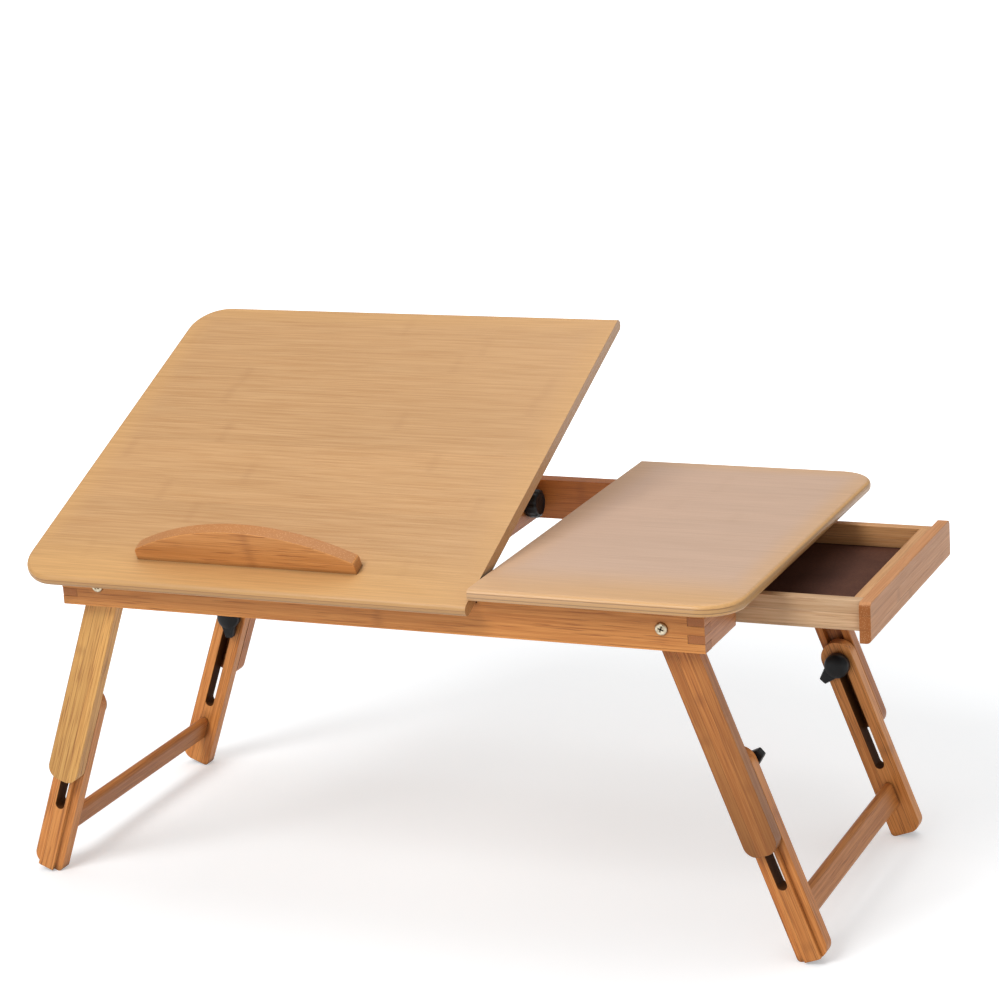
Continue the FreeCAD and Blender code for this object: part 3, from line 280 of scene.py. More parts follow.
@dataclass(frozen=True)
class Bamboo:
    """Laminated bamboo: strips side by side, knuckles, fibres, end grain and a satin coat."""

    name: str
    pale: Colour
    deep: Colour
    dash: Colour
    knuckle: Colour
    end_grain: Colour
    pore: Colour = (0.62, 0.36, 0.16)
    # Painted shade on the walls of a slot.
    slot_wall_shade: Colour = (0.12, 0.045, 0.016)
    rim: Colour | None = None
    band: tuple[float, float] = (8.0, 36.0)
    border: tuple[float, float] = (2.0, 24.0)
    rim_shade: float = 0.05
    strip_width: float = 9.5
    strip_tone: float = 0.10
    knuckle_spacing: float = 230.0
    knuckle_strength: float = 0.5
    dash_strength: float = 0.5
    joint_width: float = 0.22
    joint_strength: float = 0.35
    streak_low: float = 0.34
    streak_high: float = 0.66
    cloud_tone: float = 0.24
    face_speckle: float = 0.0
    # Strength of the paler sharp edges: rubbed wear and painted highlight.
    edge_brightening: float = 0.28
    # Brightness left in the deepest corners by the painted shade.
    darkest_corner_shade: float = 0.38
    roughness: float = 0.42
    gloss: float = 0.32
    coat: float = 0.06

    def board(
        self,
        label: str,
        lie: "Lie",
        seed: int,
        fade: float = 0.0,
        slot: Triple | None = None,
    ) -> Finish:
        """Make this bamboo for one board.

        Args:
            label: The board's name.
            lie: How the board lies and how large it is.
            seed: Number that shifts the pattern, so no two boards match.
            fade: How much darker the board gets towards the end of its grain.
            slot: Both centres and the radius in mm of a slot down its middle, whose walls get
                painted shade.

        Returns:
            The board's material.
        """
        chance = random.Random(seed)
        recipe = Recipe(f"{self.name}_{label}")
        place = recipe.node("ShaderNodeTexCoord")
        placed = recipe.node(
            "ShaderNodeMapping",
            {
                "Vector": place.outputs["Object"],
                "Location": -lie.low,
                "Rotation": lie.grain.turn().to_euler("XYZ"),
                "Scale": (1000, 1000, 1000),
            },
        ).outputs[0]
        split = recipe.node("ShaderNodeSeparateXYZ", {0: placed})
        along, across, _ = split.outputs
        scatter = [chance.uniform(200, 900) for _ in range(3)]
        spread = recipe.vector("ADD", placed, scatter).outputs[0]

        wander = recipe.streaks(spread, WANDER)
        strip = recipe.math(
            "DIVIDE", recipe.math("MULTIPLY_ADD", wander, 0.8, across), self.strip_width
        )
        number = recipe.math("ADD", recipe.math("FLOOR", strip), seed * 37.0)
        dice = recipe.node("ShaderNodeTexWhiteNoise", {"W": number}, noise_dimensions="1D")
        luck = recipe.node("ShaderNodeSeparateColor", {0: dice.outputs["Color"]})

        fibre = recipe.streaks(spread, FIBRES, detail=4.0, rough=0.62)
        hair = recipe.streaks(spread, HAIRS)
        dashes = recipe.step(recipe.streaks(spread, DASHES, detail=1.0), 0.58, 0.72)
        cloud = recipe.streaks(spread, CLOUDS)

        shift = recipe.math("MULTIPLY_ADD", luck.outputs[0], self.knuckle_spacing, along)
        turn = recipe.math("FRACT", recipe.math("DIVIDE", shift, self.knuckle_spacing))
        offset = recipe.math("ABSOLUTE", recipe.math("SUBTRACT", turn, 0.5))
        distance = recipe.math("MULTIPLY", offset, self.knuckle_spacing)
        ragged = recipe.math("MULTIPLY_ADD", hair, -9.0, distance)
        band = recipe.step(ragged, -4.5, 1.6, 1.0, 0.0)
        joint = self.seam(recipe, strip, self.joint_width / self.strip_width)

        streak = recipe.math("MULTIPLY_ADD", hair, 0.4, recipe.math("MULTIPLY", fibre, 0.6))
        depth = recipe.step(streak, self.streak_low, self.streak_high)
        wood = recipe.blend(depth, self.pale, self.deep)
        tone = recipe.math(
            "MULTIPLY_ADD",
            recipe.math("SUBTRACT", luck.outputs[1], 0.5),
            2 * self.strip_tone,
            recipe.math("MULTIPLY_ADD", cloud, self.cloud_tone, 1.0 - self.cloud_tone / 2),
        )
        if fade:
            tone = recipe.math("MULTIPLY_ADD", along, -fade / lie.size.x, tone)
        shade = recipe.grey(tone)
        wood = recipe.blend(1.0, wood, shade, "MULTIPLY")
        wood = recipe.blend(recipe.math("MULTIPLY", dashes, self.dash_strength), wood, self.dash)
        flecks = recipe.math("MULTIPLY_ADD", dashes, 0.45, 0.55)
        mark = recipe.math("MULTIPLY", recipe.math("MULTIPLY", band, flecks), self.knuckle_strength)
        wood = recipe.blend(mark, wood, self.knuckle)
        wood = recipe.blend(recipe.math("MULTIPLY", joint, self.joint_strength), wood, self.dash)
        if self.rim:
            wood, joint = self.lay_rim(recipe, wood, place, lie, split, depth)

        speckled = recipe.blend(1.0, self.speckle(recipe, spread), shade, "MULTIPLY")
        end = recipe.step(self.facing(recipe, place, lie.grain.value[0]), 0.72, 0.9)
        if self.face_speckle:
            upward = recipe.step(self.facing(recipe, place, lie.grain.value[2]), 0.72, 0.9)
            end = recipe.math("MULTIPLY_ADD", upward, self.face_speckle, end, clamp=True)
        wood = recipe.blend(end, wood, speckled)
        # Paler sharp edges: partly rubbed wear, partly a painted highlight along the rims.
        rubbed_and_lit_edge = recipe.step(recipe.node("ShaderNodeNewGeometry").outputs["Pointiness"], 0.52, 0.60)
        wood = recipe.blend(recipe.math("MULTIPLY", rubbed_and_lit_edge, self.edge_brightening), wood, self.pale)
        # Painted shade: ambient occlusion darkens the colour in corners, slot walls and joints
        # between boards.
        corner = recipe.node("ShaderNodeAmbientOcclusion", {"Distance": 0.007}, samples=8)
        occlusion_shade = recipe.step(corner.outputs["AO"], 0.25, 0.85, self.darkest_corner_shade, 1.0)
        wood = recipe.blend(1.0, wood, recipe.grey(occlusion_shade), "MULTIPLY")
        gloss = self.gloss
        # Painted shade: the walls of the slot take a near-black brown and no gloss.
        if slot:
            off = recipe.math("SUBTRACT", across, lie.size.y / 2)
            slot_shade_mask = self.within_slot(recipe, along, off, slot)
            wood = recipe.blend(slot_shade_mask, wood, self.slot_wall_shade)
            gloss = recipe.math("MULTIPLY_ADD", slot_shade_mask, -self.gloss, self.gloss)

        height = recipe.math("MULTIPLY_ADD", dashes, -0.5, streak)
        height = recipe.math("MULTIPLY_ADD", joint, -1.2, height)
        links = {
            "Base Color": wood,
            "Roughness": recipe.math("MULTIPLY_ADD", streak, 0.16, self.roughness - 0.08),
            "IOR": 1.47,
            "Specular IOR Level": gloss,
            "Coat Weight": self.coat,
            "Coat Roughness": 0.32,
        }
        return recipe.finish(links, height, relief=0.00012)

    def speckle(self, recipe: Recipe, spread: Socket) -> Socket:
        """Pale pores in the dark end grain.

        Args:
            recipe: The material.
            spread: Place in the pattern, in mm.

        Returns:
            The end grain's colour.
        """
        pore_at = recipe.vector("MULTIPLY", spread, PORES).outputs[0]
        pores = recipe.node("ShaderNodeTexVoronoi", {"Vector": pore_at, "Scale": 1.15})
        pore = recipe.step(pores.outputs["Distance"], 0.14, 0.40, 1.0, 0.0)
        return recipe.blend(recipe.math("MULTIPLY", pore, 0.5), self.end_grain, self.pore)

    @staticmethod
    def within_slot(recipe: Recipe, along: Socket, off: Socket, slot: Triple) -> Socket:
        """Mask of a slot with round ends.

        Args:
            recipe: The material.
            along: Place along the board in mm.
            off: Distance from the slot's centre line in mm.
            slot: Both centres and the radius in mm.

        Returns:
            The mask.
        """
        start, end, radius = slot
        past = recipe.math("ABSOLUTE", recipe.math("SUBTRACT", along, (start + end) / 2))
        past = recipe.math("MAXIMUM", recipe.math("SUBTRACT", past, (end - start) / 2), 0.0)
        reach = recipe.math("MULTIPLY_ADD", off, off, recipe.math("MULTIPLY", past, past))
        return recipe.step(recipe.math("SQRT", reach), radius + 0.05, radius + 0.3, 1.0, 0.0)

    @staticmethod
    def seam(recipe: Recipe, count: Socket, width: float) -> Socket:
        """Mask of thin lines where a running count passes a whole number."""
        middle = recipe.math("SUBTRACT", recipe.math("FRACT", count), 0.5)
        return recipe.step(recipe.math("ABSOLUTE", middle), 0.5 - width, 0.5 - width / 4)

    @staticmethod
    def facing(recipe: Recipe, place: bpy.types.Node, axis: Sequence[float]) -> Socket:
        """Size of the surface normal's share along a unit direction."""
        facing = recipe.vector("DOT_PRODUCT", place.outputs["Normal"], tuple(axis))
        return recipe.math("ABSOLUTE", facing.outputs["Value"])

    def lay_rim(
        self,
        recipe: Recipe,
        wood: Socket,
        place: bpy.types.Node,
        lie: "Lie",
        split: bpy.types.Node,
        depth: Socket,
    ) -> tuple[Socket, Socket]:
        """Show a top's three plies round its rim and a golden band beside it.

        Args:
            recipe: The material.
            wood: Colour of the faces.
            place: The texture coordinates.
            lie: How the top lies and how large it is.
            split: The place along, across and through the top.
            depth: Mask of the darker streaks.

        Returns:
            The colour and the mask of the glue lines.
        """
        along, across, through = split.outputs
        ply = recipe.math("DIVIDE", through, lie.size.z / 3)
        lines = self.seam(recipe, ply, 0.19)
        middle = recipe.math("COMPARE", recipe.math("FLOOR", ply), 1.0, 0.5)
        pale = recipe.blend(depth, self.rim, tuple(0.80 * part for part in self.rim))
        edge = recipe.blend(self.rim_shade, pale, self.end_grain)
        edge = recipe.blend(recipe.math("MULTIPLY", middle, 0.5), edge, self.end_grain)
        edge = recipe.blend(recipe.math("MULTIPLY", lines, 0.85), edge, self.knuckle)
        on_rim = recipe.step(self.facing(recipe, place, lie.grain.value[2]), 0.80, 0.97, 1.0, 0.0)
        behind = recipe.math("SUBTRACT", lie.size.y, across)
        right = recipe.math("SUBTRACT", lie.size.x, along)
        beside = recipe.math("MINIMUM", recipe.math("MINIMUM", along, behind), right)
        # Golden band beside the edges; on the fixed top the painted sheen of the middle gives way
        # to it here.
        gold = recipe.math(
            "MAXIMUM",
            recipe.step(beside, *self.border, 0.5, 0.0),
            recipe.step(across, *self.band, 0.8, 0.0),
        )
        wood = recipe.blend(gold, wood, recipe.blend(0.12, pale, self.end_grain))
        return recipe.blend(on_rim, wood, edge), recipe.math("MULTIPLY", lines, on_rim)


@dataclass(frozen=True)
class Lie:
    """How a board lies: its grain, and its lowest corner and size along it, in mm."""

    grain: Grain
    low: Vector
    size: Vector

    @classmethod
    def of(cls, node: str, grain: Grain) -> "Lie":
        """Measure a board.

        Args:
            node: The board's name.
            grain: Which way its grain runs.

        Returns:
            How the board lies.
        """
        turn = grain.turn()
        corners = [turn @ vertex.co / MM for vertex in frame["nodes"][node].data.vertices]
        low = Vector([min(corner[axis] for corner in corners) for axis in range(3)])
        high = Vector([max(corner[axis] for corner in corners) for axis in range(3)])
        return cls(grain, low, high - low)


@dataclass(frozen=True)
class Hardboard:
    """Dark pressed board with a faint cloth-like texture, as in a drawer's bottom."""

    name: str = "hardboard"
    face: Colour = (0.062, 0.020, 0.011)
    fleck: Colour = (0.125, 0.048, 0.027)

    def sheet(self) -> Finish:
        """Make the board's material.

        Returns:
            The finished material.
        """
        recipe = Recipe(self.name)
        place = recipe.node("ShaderNodeTexCoord").outputs["Object"]
        fine = recipe.noise(place, 900.0, 3.0, 0.7)
        broad = recipe.noise(place, 35.0, 2.0)
        mixed = recipe.math("MULTIPLY_ADD", broad, 0.4, recipe.math("MULTIPLY", fine, 0.6))
        colour = recipe.blend(recipe.step(mixed, 0.36, 0.7), self.face, self.fleck)
        rough = recipe.math("MULTIPLY_ADD", fine, 0.2, 0.6)
        links = {"Base Color": colour, "Roughness": rough, "Specular IOR Level": 0.25}
        return recipe.finish(links, fine, relief=0.00008)


@dataclass(frozen=True)
class Moulded:
    """Black moulded plastic with a fine spark-eroded texture and rubbed edges."""

    name: str = "moulded_black"
    face: Colour = (0.007, 0.007, 0.0075)
    rubbed: Colour = (0.03, 0.03, 0.031)

    def skin(self, label: str) -> Finish:
        """Make the plastic's material.

        Args:
            label: What it is for.

        Returns:
            The finished material.
        """
        recipe = Recipe(f"{self.name}_{label}")
        place = recipe.node("ShaderNodeTexCoord").outputs["Object"]
        grit = recipe.noise(place, 2600.0, 2.0, 0.6)
        haze = recipe.noise(place, 160.0, 2.0)
        edge = recipe.step(recipe.node("ShaderNodeNewGeometry").outputs["Pointiness"], 0.53, 0.62)
        edge_brightening = recipe.math("MULTIPLY", edge, recipe.math("MULTIPLY_ADD", haze, 0.8, 0.2))
        colour = recipe.blend(edge_brightening, self.face, self.rubbed)
        rough = recipe.math("MULTIPLY_ADD", haze, 0.18, 0.30)
        links = {"Base Color": colour, "Roughness": rough, "Specular IOR Level": 0.24}
        return recipe.finish(links, grit, relief=0.00003)


@dataclass(frozen=True)
class Plated:
    """Zinc-plated steel, slightly warm, with fine turning marks."""

    name: str = "plated"
    bright: Colour = (0.62, 0.54, 0.40)
    dull: Colour = (0.34, 0.28, 0.19)
    shaded: Colour = (0.045, 0.028, 0.015)
    turning: Triple = (300.0, 300.0, 4200.0)
    roughness: float = 0.30

    def metal(self) -> Finish:
        """Make the metal's material.

        Returns:
            The finished material.
        """
        recipe = Recipe(self.name)
        place = recipe.node("ShaderNodeTexCoord").outputs["Object"]
        cloud = recipe.noise(place, 420.0, 3.0)
        scratch = recipe.streaks(place, self.turning)
        colour = recipe.blend(recipe.step(cloud, 0.35, 0.7), self.bright, self.dull)
        rough = recipe.math("MULTIPLY_ADD", cloud, 0.16, self.roughness - 0.08)
        # Painted shade: ambient occlusion darkens the metal in recesses, such as the screw heads'
        # crosses.
        corner = recipe.node("ShaderNodeAmbientOcclusion", {"Distance": 0.0025}, samples=8)
        colour = recipe.blend(recipe.step(corner.outputs["AO"], 0.45, 0.9), self.shaded, colour)
        links = {"Base Color": colour, "Roughness": rough, "Metallic": 1.0}
        return recipe.finish(links, scratch, relief=0.00001)


# Fixed top: its pale pinkish colour holds a painted sheen, the grazing reflection of a white room
# over the bamboo.
TOP = Bamboo(
    name="sheen_painted_top",
    pale=(0.66, 0.445, 0.316),
    deep=(0.56, 0.362, 0.245),
    dash=(0.40, 0.22, 0.12),
    knuckle=(0.33, 0.16, 0.06),
    end_grain=(0.50, 0.27, 0.10),
    rim=(0.79, 0.44, 0.165),
    band=(8.0, 66.0),
    rim_shade=0.12,
    strip_width=21.0,
    strip_tone=0.02,
    knuckle_strength=0.10,
    dash_strength=0.14,
    joint_strength=0.07,
    streak_low=0.30,
    streak_high=0.75,
    cloud_tone=0.10,
    roughness=0.38,
    gloss=0.5,
    coat=0.16,
)
HONEY_TOP = Bamboo(
    name="honey_top",
    pale=(0.62, 0.362, 0.166),
    deep=(0.50, 0.262, 0.102),
    dash=(0.42, 0.19, 0.06),
    knuckle=(0.34, 0.15, 0.05),
    end_grain=(0.46, 0.23, 0.08),
    rim=(0.75, 0.42, 0.155),
    band=(6.0, 60.0),
    # Painted shade: the tilt top's rim is darkened towards its end grain colour.
    rim_shade=0.4,
    strip_width=21.0,
    strip_tone=0.035,
    knuckle_strength=0.22,
    dash_strength=0.20,
    joint_strength=0.12,
    cloud_tone=0.14,
    roughness=0.40,
    gloss=0.45,
    coat=0.12,
)
RAIL = Bamboo(
    name="amber_rail",
    pale=(0.80, 0.34, 0.092),
    deep=(0.58, 0.205, 0.048),
    dash=(0.30, 0.085, 0.02),
    knuckle=(0.26, 0.075, 0.02),
    end_grain=(0.36, 0.115, 0.03),
    pore=(0.54, 0.21, 0.065),
    strip_width=27.0,
    dash_strength=0.75,
)
# Darker copy of the rail's bamboo: painted shade for the parts that sit in the shadow of the tops.
SHADED_RAIL = replace(
    RAIL,
    name="shaded_rail",
    pale=(0.54, 0.19, 0.047),
    deep=(0.39, 0.115, 0.025),
)
# Darker, less saturated copy for the right end rail: painted shade on its side away from the key
# lamp, with a painted pinkish reflection.
SHADE_AND_SHEEN_RAIL = replace(
    RAIL,
    name="shade_and_sheen_rail",
    pale=(0.60, 0.25, 0.092),
    deep=(0.45, 0.17, 0.056),
)
# Darker copy for the stretchers: painted shade where they sit low under the stand.
SHADED_RUNG = replace(
    RAIL,
    name="shaded_rung",
    pale=(0.60, 0.235, 0.062),
    deep=(0.42, 0.14, 0.032),
)
STOP = replace(
    RAIL,
    name="amber_stop",
    pale=(0.70, 0.31, 0.095),
    deep=(0.52, 0.20, 0.052),
    pore=(0.72, 0.40, 0.17),
    end_grain=(0.46, 0.19, 0.06),
    face_speckle=1.0,
)
LEG = Bamboo(
    name="amber_leg",
    pale=(0.68, 0.268, 0.068),
    deep=(0.48, 0.155, 0.034),
    dash=(0.29, 0.09, 0.022),
    knuckle=(0.24, 0.075, 0.02),
    end_grain=(0.30, 0.10, 0.03),
    pore=(0.46, 0.19, 0.07),
    strip_width=7.5,
    dash_strength=0.8,
    joint_strength=0.55,
    streak_low=0.38,
    streak_high=0.62,
)
# Paler copy for the front left upper leg: painted light where the key lamp falls on it.
FULL_LIGHT_LEG = replace(
    LEG,
    name="full_light_leg",
    pale=(0.86, 0.47, 0.142),
    deep=(0.63, 0.29, 0.078),
)
# Brighter copy for the lower legs: painted light that lifts the shadow on them.
LIT_LEG = replace(
    LEG,
    name="lit_leg",
    pale=(0.78, 0.325, 0.088),
    deep=(0.57, 0.195, 0.045),
)
# Darker copy for the back upper legs: painted shade.
SHADED_LEG = replace(
    LEG,
    name="shaded_leg",
    pale=(0.70, 0.245, 0.046),
    deep=(0.48, 0.14, 0.024),
)
DRAWER = Bamboo(
    name="pale_drawer",
    pale=(0.70, 0.46, 0.27),
    deep=(0.50, 0.28, 0.13),
    dash=(0.32, 0.14, 0.055),
    knuckle=(0.30, 0.13, 0.05),
    end_grain=(0.36, 0.135, 0.042),
    strip_width=9.0,
    strip_tone=0.12,
    dash_strength=0.6,
)
DRAWER_INSIDE = replace(
    DRAWER,
    name="amber_drawer",
    pale=(0.68, 0.36, 0.155),
    deep=(0.49, 0.225, 0.08),
)
DRAWER_FACE = replace(
    DRAWER,
    name="rosy_drawer_face",
    pale=(0.64, 0.305, 0.135),
    deep=(0.50, 0.215, 0.085),
    end_grain=(0.32, 0.10, 0.024),
    pore=(0.74, 0.40, 0.17),
    dash_strength=0.22,
    strip_tone=0.05,
    gloss=0.15,
    coat=0.0,
)


def clean_shell(node: str) -> Shell:
    """Copy a node's shape with its triangles merged into whole faces.

    Args:
        node: The node's name.

    Returns:
        The shell.
    """
    shell = bmesh.new()
    shell.from_mesh(frame["nodes"][node].data)
    bmesh.ops.remove_doubles(shell, verts=shell.verts[:], dist=MERGE)
    bmesh.ops.dissolve_limit(shell, angle_limit=FLAT, verts=shell.verts[:], edges=shell.edges[:])
    return shell


def round_edges(shell: Shell, edges: list, radius: float, segments: int) -> None:
    """Round some edges of a shell.

    Args:
        shell: The shell.
        edges: The edges.
        radius: Radius in mm.
        segments: Faces across each rounded edge.
    """
    bmesh.ops.bevel(
        shell,
        geom=edges,
        offset=radius * MM,
        offset_type="OFFSET",
        segments=segments,
        profile=0.5,
        affect="EDGES",
        clamp_overlap=True,
    )


def crisp_edges(shell: Shell, sharp: float) -> list:
    """Find a shell's outward edges.

    Args:
        shell: The shell.
        sharp: Angle in degrees from which an edge counts.

    Returns:
        The edges.
    """
    limit = math.radians(sharp)
    return [
        edge
        for edge in shell.edges
        if len(edge.link_faces) == 2 and edge.is_convex and edge.calc_face_angle(0.0) > limit
    ]


def place_piece(shell: Shell, name: str, node: str, body: str, smooth: float) -> Piece:
    """Turn a finished shell into a piece that stands for a node.

    Args:
        shell: The shell, which is freed.
        name: The piece's name.
        node: The node that it stands for.
        body: The body that it rides on.
        smooth: Angle in degrees below which edges shade smooth.

    Returns:
        The new piece.
    """
    mesh = bpy.data.meshes.new(name)
    shell.to_mesh(mesh)
    shell.free()
    mesh.shade_smooth()
    mesh.set_sharp_from_angle(angle=math.radians(smooth))
    piece = bpy.data.objects.new(name, mesh)
    bpy.context.scene.collection.objects.link(piece)
    weights = piece.modifiers.new("flat_faces", "WEIGHTED_NORMAL")
    weights.keep_sharp = True
    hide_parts(node)
    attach(piece, body)
    return piece


def dress(piece: Piece, material: Finish) -> None:
    """Give a new piece its finish.

    Args:
        piece: The piece.
        material: Its finish.
    """
    piece.data.materials.clear()
    piece.data.materials.append(material)


def repaint(node: str, material: Finish) -> None:
    """Give a node that keeps its own shape a better finish.

    Args:
        node: The node's name.
        material: Its finish.
    """
    for slot in frame["nodes"][node].material_slots:
        slot.link = "OBJECT"
        slot.material = material


def combine(body: Shell, tool: Shell, operation: str) -> Shell:
    """Join two closed shells, or cut one from the other.

    Args:
        body: The first shell, which is freed.
        tool: The second shell, which is freed.
        operation: UNION or DIFFERENCE.

    Returns:
        The combined shell.
    """
    holders = []
    for shell in (body, tool):
        mesh = bpy.data.meshes.new("working_shell")
        shell.to_mesh(mesh)
        shell.free()
        holder = bpy.data.objects.new("working_shell", mesh)
        bpy.context.scene.collection.objects.link(holder)
        holders.append(holder)
    step = holders[0].modifiers.new("combine", "BOOLEAN")
    step.operation = operation
    step.object = holders[1]
    step.solver = "EXACT"
    graph = bpy.context.evaluated_depsgraph_get()
    made = bpy.data.meshes.new_from_object(holders[0].evaluated_get(graph))
    result = bmesh.new()
    result.from_mesh(made)
    for mesh in [made] + [holder.data for holder in holders]:
        bpy.data.meshes.remove(mesh)
    return result


def spin_solid(
    profile: Sequence[tuple[float, float]], steps: int = 48, flutes: int = 0, depth: float = 0.0
) -> Shell:
    """Turn a profile about the Z axis into a closed solid.

    Args:
        profile: Radius and height of each corner in mm; the first and last lie on the axis.
        steps: Corners round the axis.
        flutes: Grip flutes round the widest part.
        depth: Share of the radius that a flute takes away.

    Returns:
        The solid's shell.
    """
    shell = bmesh.new()
    widest = max(radius for radius, _ in profile)
    rings = []
    for radius, height in profile[1:-1]:
        ring = []
        for step in range(steps):
            angle = 2 * math.pi * step / steps
            wave = 0.5 + 0.5 * math.cos(flutes * angle) if flutes else 0.0
            grip = 1 - depth * wave if radius > 0.85 * widest else 1.0
            reach = radius * grip * MM
            ring.append(
                shell.verts.new((reach * math.cos(angle), reach * math.sin(angle), height * MM))
            )
        rings.append(ring)
    for lower, upper in zip(rings, rings[1:]):
        for step in range(steps):
            beside = (step + 1) % steps
            shell.faces.new((lower[step], lower[beside], upper[beside], upper[step]))
    for ring, (_, height) in ((rings[0], profile[0]), (rings[-1], profile[-1])):
        tip = shell.verts.new((0.0, 0.0, height * MM))
        for step in range(steps):
            shell.faces.new((tip, ring[step], ring[(step + 1) % steps]))
    bmesh.ops.recalc_face_normals(shell, faces=shell.faces[:])
    return shell


def stack_solid(
    outline: Sequence[tuple[float, float]], levels: Sequence[tuple[float, float]]
) -> Shell:
    """Stand an outline up into a closed solid whose outline may shrink on the way.

    Args:
        outline: Corners in mm.
        levels: Height in mm and scale of the outline, from one end to the other.

    Returns:
        The solid's shell.
    """
    shell = bmesh.new()
    rows = [
        [shell.verts.new((x * scale * MM, y * scale * MM, height * MM)) for x, y in outline]
        for height, scale in levels
    ]
    count = len(outline)
    for lower, upper in zip(rows, rows[1:]):
        for step in range(count):
            beside = (step + 1) % count
            shell.faces.new((lower[step], lower[beside], upper[beside], upper[step]))
    shell.faces.new(rows[0])
    shell.faces.new(rows[-1])
    bmesh.ops.recalc_face_normals(shell, faces=shell.faces[:])
    return shell


def stand(shell: Shell, foot: Vector, axis: Vector, aim: Vector) -> None:
    """Move a solid from the origin to its place.

    Args:
        shell: The solid, standing on the origin along Z.
        foot: Where its origin goes, in metres.
        axis: Where its Z axis points.
        aim: Where its X axis points.
    """
    side = axis.cross(aim)
    turn = Matrix((aim, side, axis)).transposed().to_4x4()
    bmesh.ops.transform(shell, matrix=Matrix.Translation(foot) @ turn, verts=shell.verts[:])


@dataclass
class Board:
    """One board of a sub-assembly: its node, finish, grain and rubbed edge."""

    node: str
    finish: Bamboo
    grain: Grain
    slot: Slot
    edge: float = 0.5
    fade: float = 0.0
    slotted: Triple | None = None

    def shape(self) -> Shell:
        """Copy the board's own shape."""
        return clean_shell(self.node)

    def build(self, seed: int) -> Piece:
        """Rebuild the board with rubbed edges and dress it.

        Args:
            seed: Number that shifts the bamboo's pattern.

        Returns:
            The new piece.
        """
        shell = self.shape()
        round_edges(shell, crisp_edges(shell, sharp=35.0), self.edge, segments=2)
        body = frame["nodes"][self.node]["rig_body"]
        piece = place_piece(shell, f"{self.node}_board", self.node, body, smooth=50.0)
        lie = Lie.of(self.node, self.grain)
        skin = self.finish.board(self.node, lie, seed, self.fade, self.slotted)
        dress(piece, skin)
        return piece


@dataclass
class Tops:
    """The tilting top with its stop and the fixed top beside it."""

    stop_edge: float = 0.9

    def build(self) -> list[Piece]:
        """Build the two tops and the laptop stop.

        Returns:
            The new pieces.
        """
        tilted = Lie.of("tilt_top", Grain.TILTED_TOP)
        level = Lie.of("fixed_top", Grain.ALONG_STAND)
        repaint("tilt_top", HONEY_TOP.board("tilt_top", tilted, 11))
        repaint("fixed_top", TOP.board("fixed_top", level, 12))
        stop = Board("laptop_stop", STOP, Grain.TILTED_TOP, Slot.TOP, self.stop_edge)
        return [stop.build(13)]


@dataclass
class Framework:
    """Finger-jointed frame with its centre rail."""

    edge: float = 0.45

    def build(self) -> list[Piece]:
        """Build the five rails.

        Returns:
            The new pieces.
        """
        # The back and centre rails take a copy with painted shade, the right end rail one with
        # painted shade and sheen.
        plan = (
            ("front_rail", RAIL, Grain.LONG_RAIL),
            ("back_rail", SHADED_RAIL, Grain.LONG_RAIL),
            ("left_end_rail", RAIL, Grain.CROSS_RAIL),
            ("right_end_rail", SHADE_AND_SHEEN_RAIL, Grain.CROSS_RAIL),
            ("centre_rail", SHADED_RAIL, Grain.CROSS_RAIL),
        )
        boards = [Board(node, finish, grain, Slot.FRAME, self.edge) for node, finish, grain in plan]
        return [board.build(20 + number) for number, board in enumerate(boards)]


@dataclass
class LowerLeg(Board):
    """Lower leg with a low rib in its upper leg's groove and painted shade on its slot's walls."""

    slotted: Triple | None = (13.0, 89.8, 3.25)
    rib_lowering: float = 1.9

    def shape(self) -> Shell:
        """Copy the leg and lower its rib.

        Returns:
            The shell.
        """
        shell = clean_shell(self.node)
        lie = Lie.of(self.node, self.grain)
        turn = self.grain.turn()
        front = self.node.endswith("front")
        rib_face = lie.low.z if front else lie.low.z + lie.size.z
        shift = self.rib_lowering if front else -self.rib_lowering
        for vertex in shell.verts:
            place = turn @ vertex.co / MM
            if abs(place.z - rib_face) < 0.05:
                place.z += shift
            vertex.co = turn.transposed() @ (place * MM)
        return shell


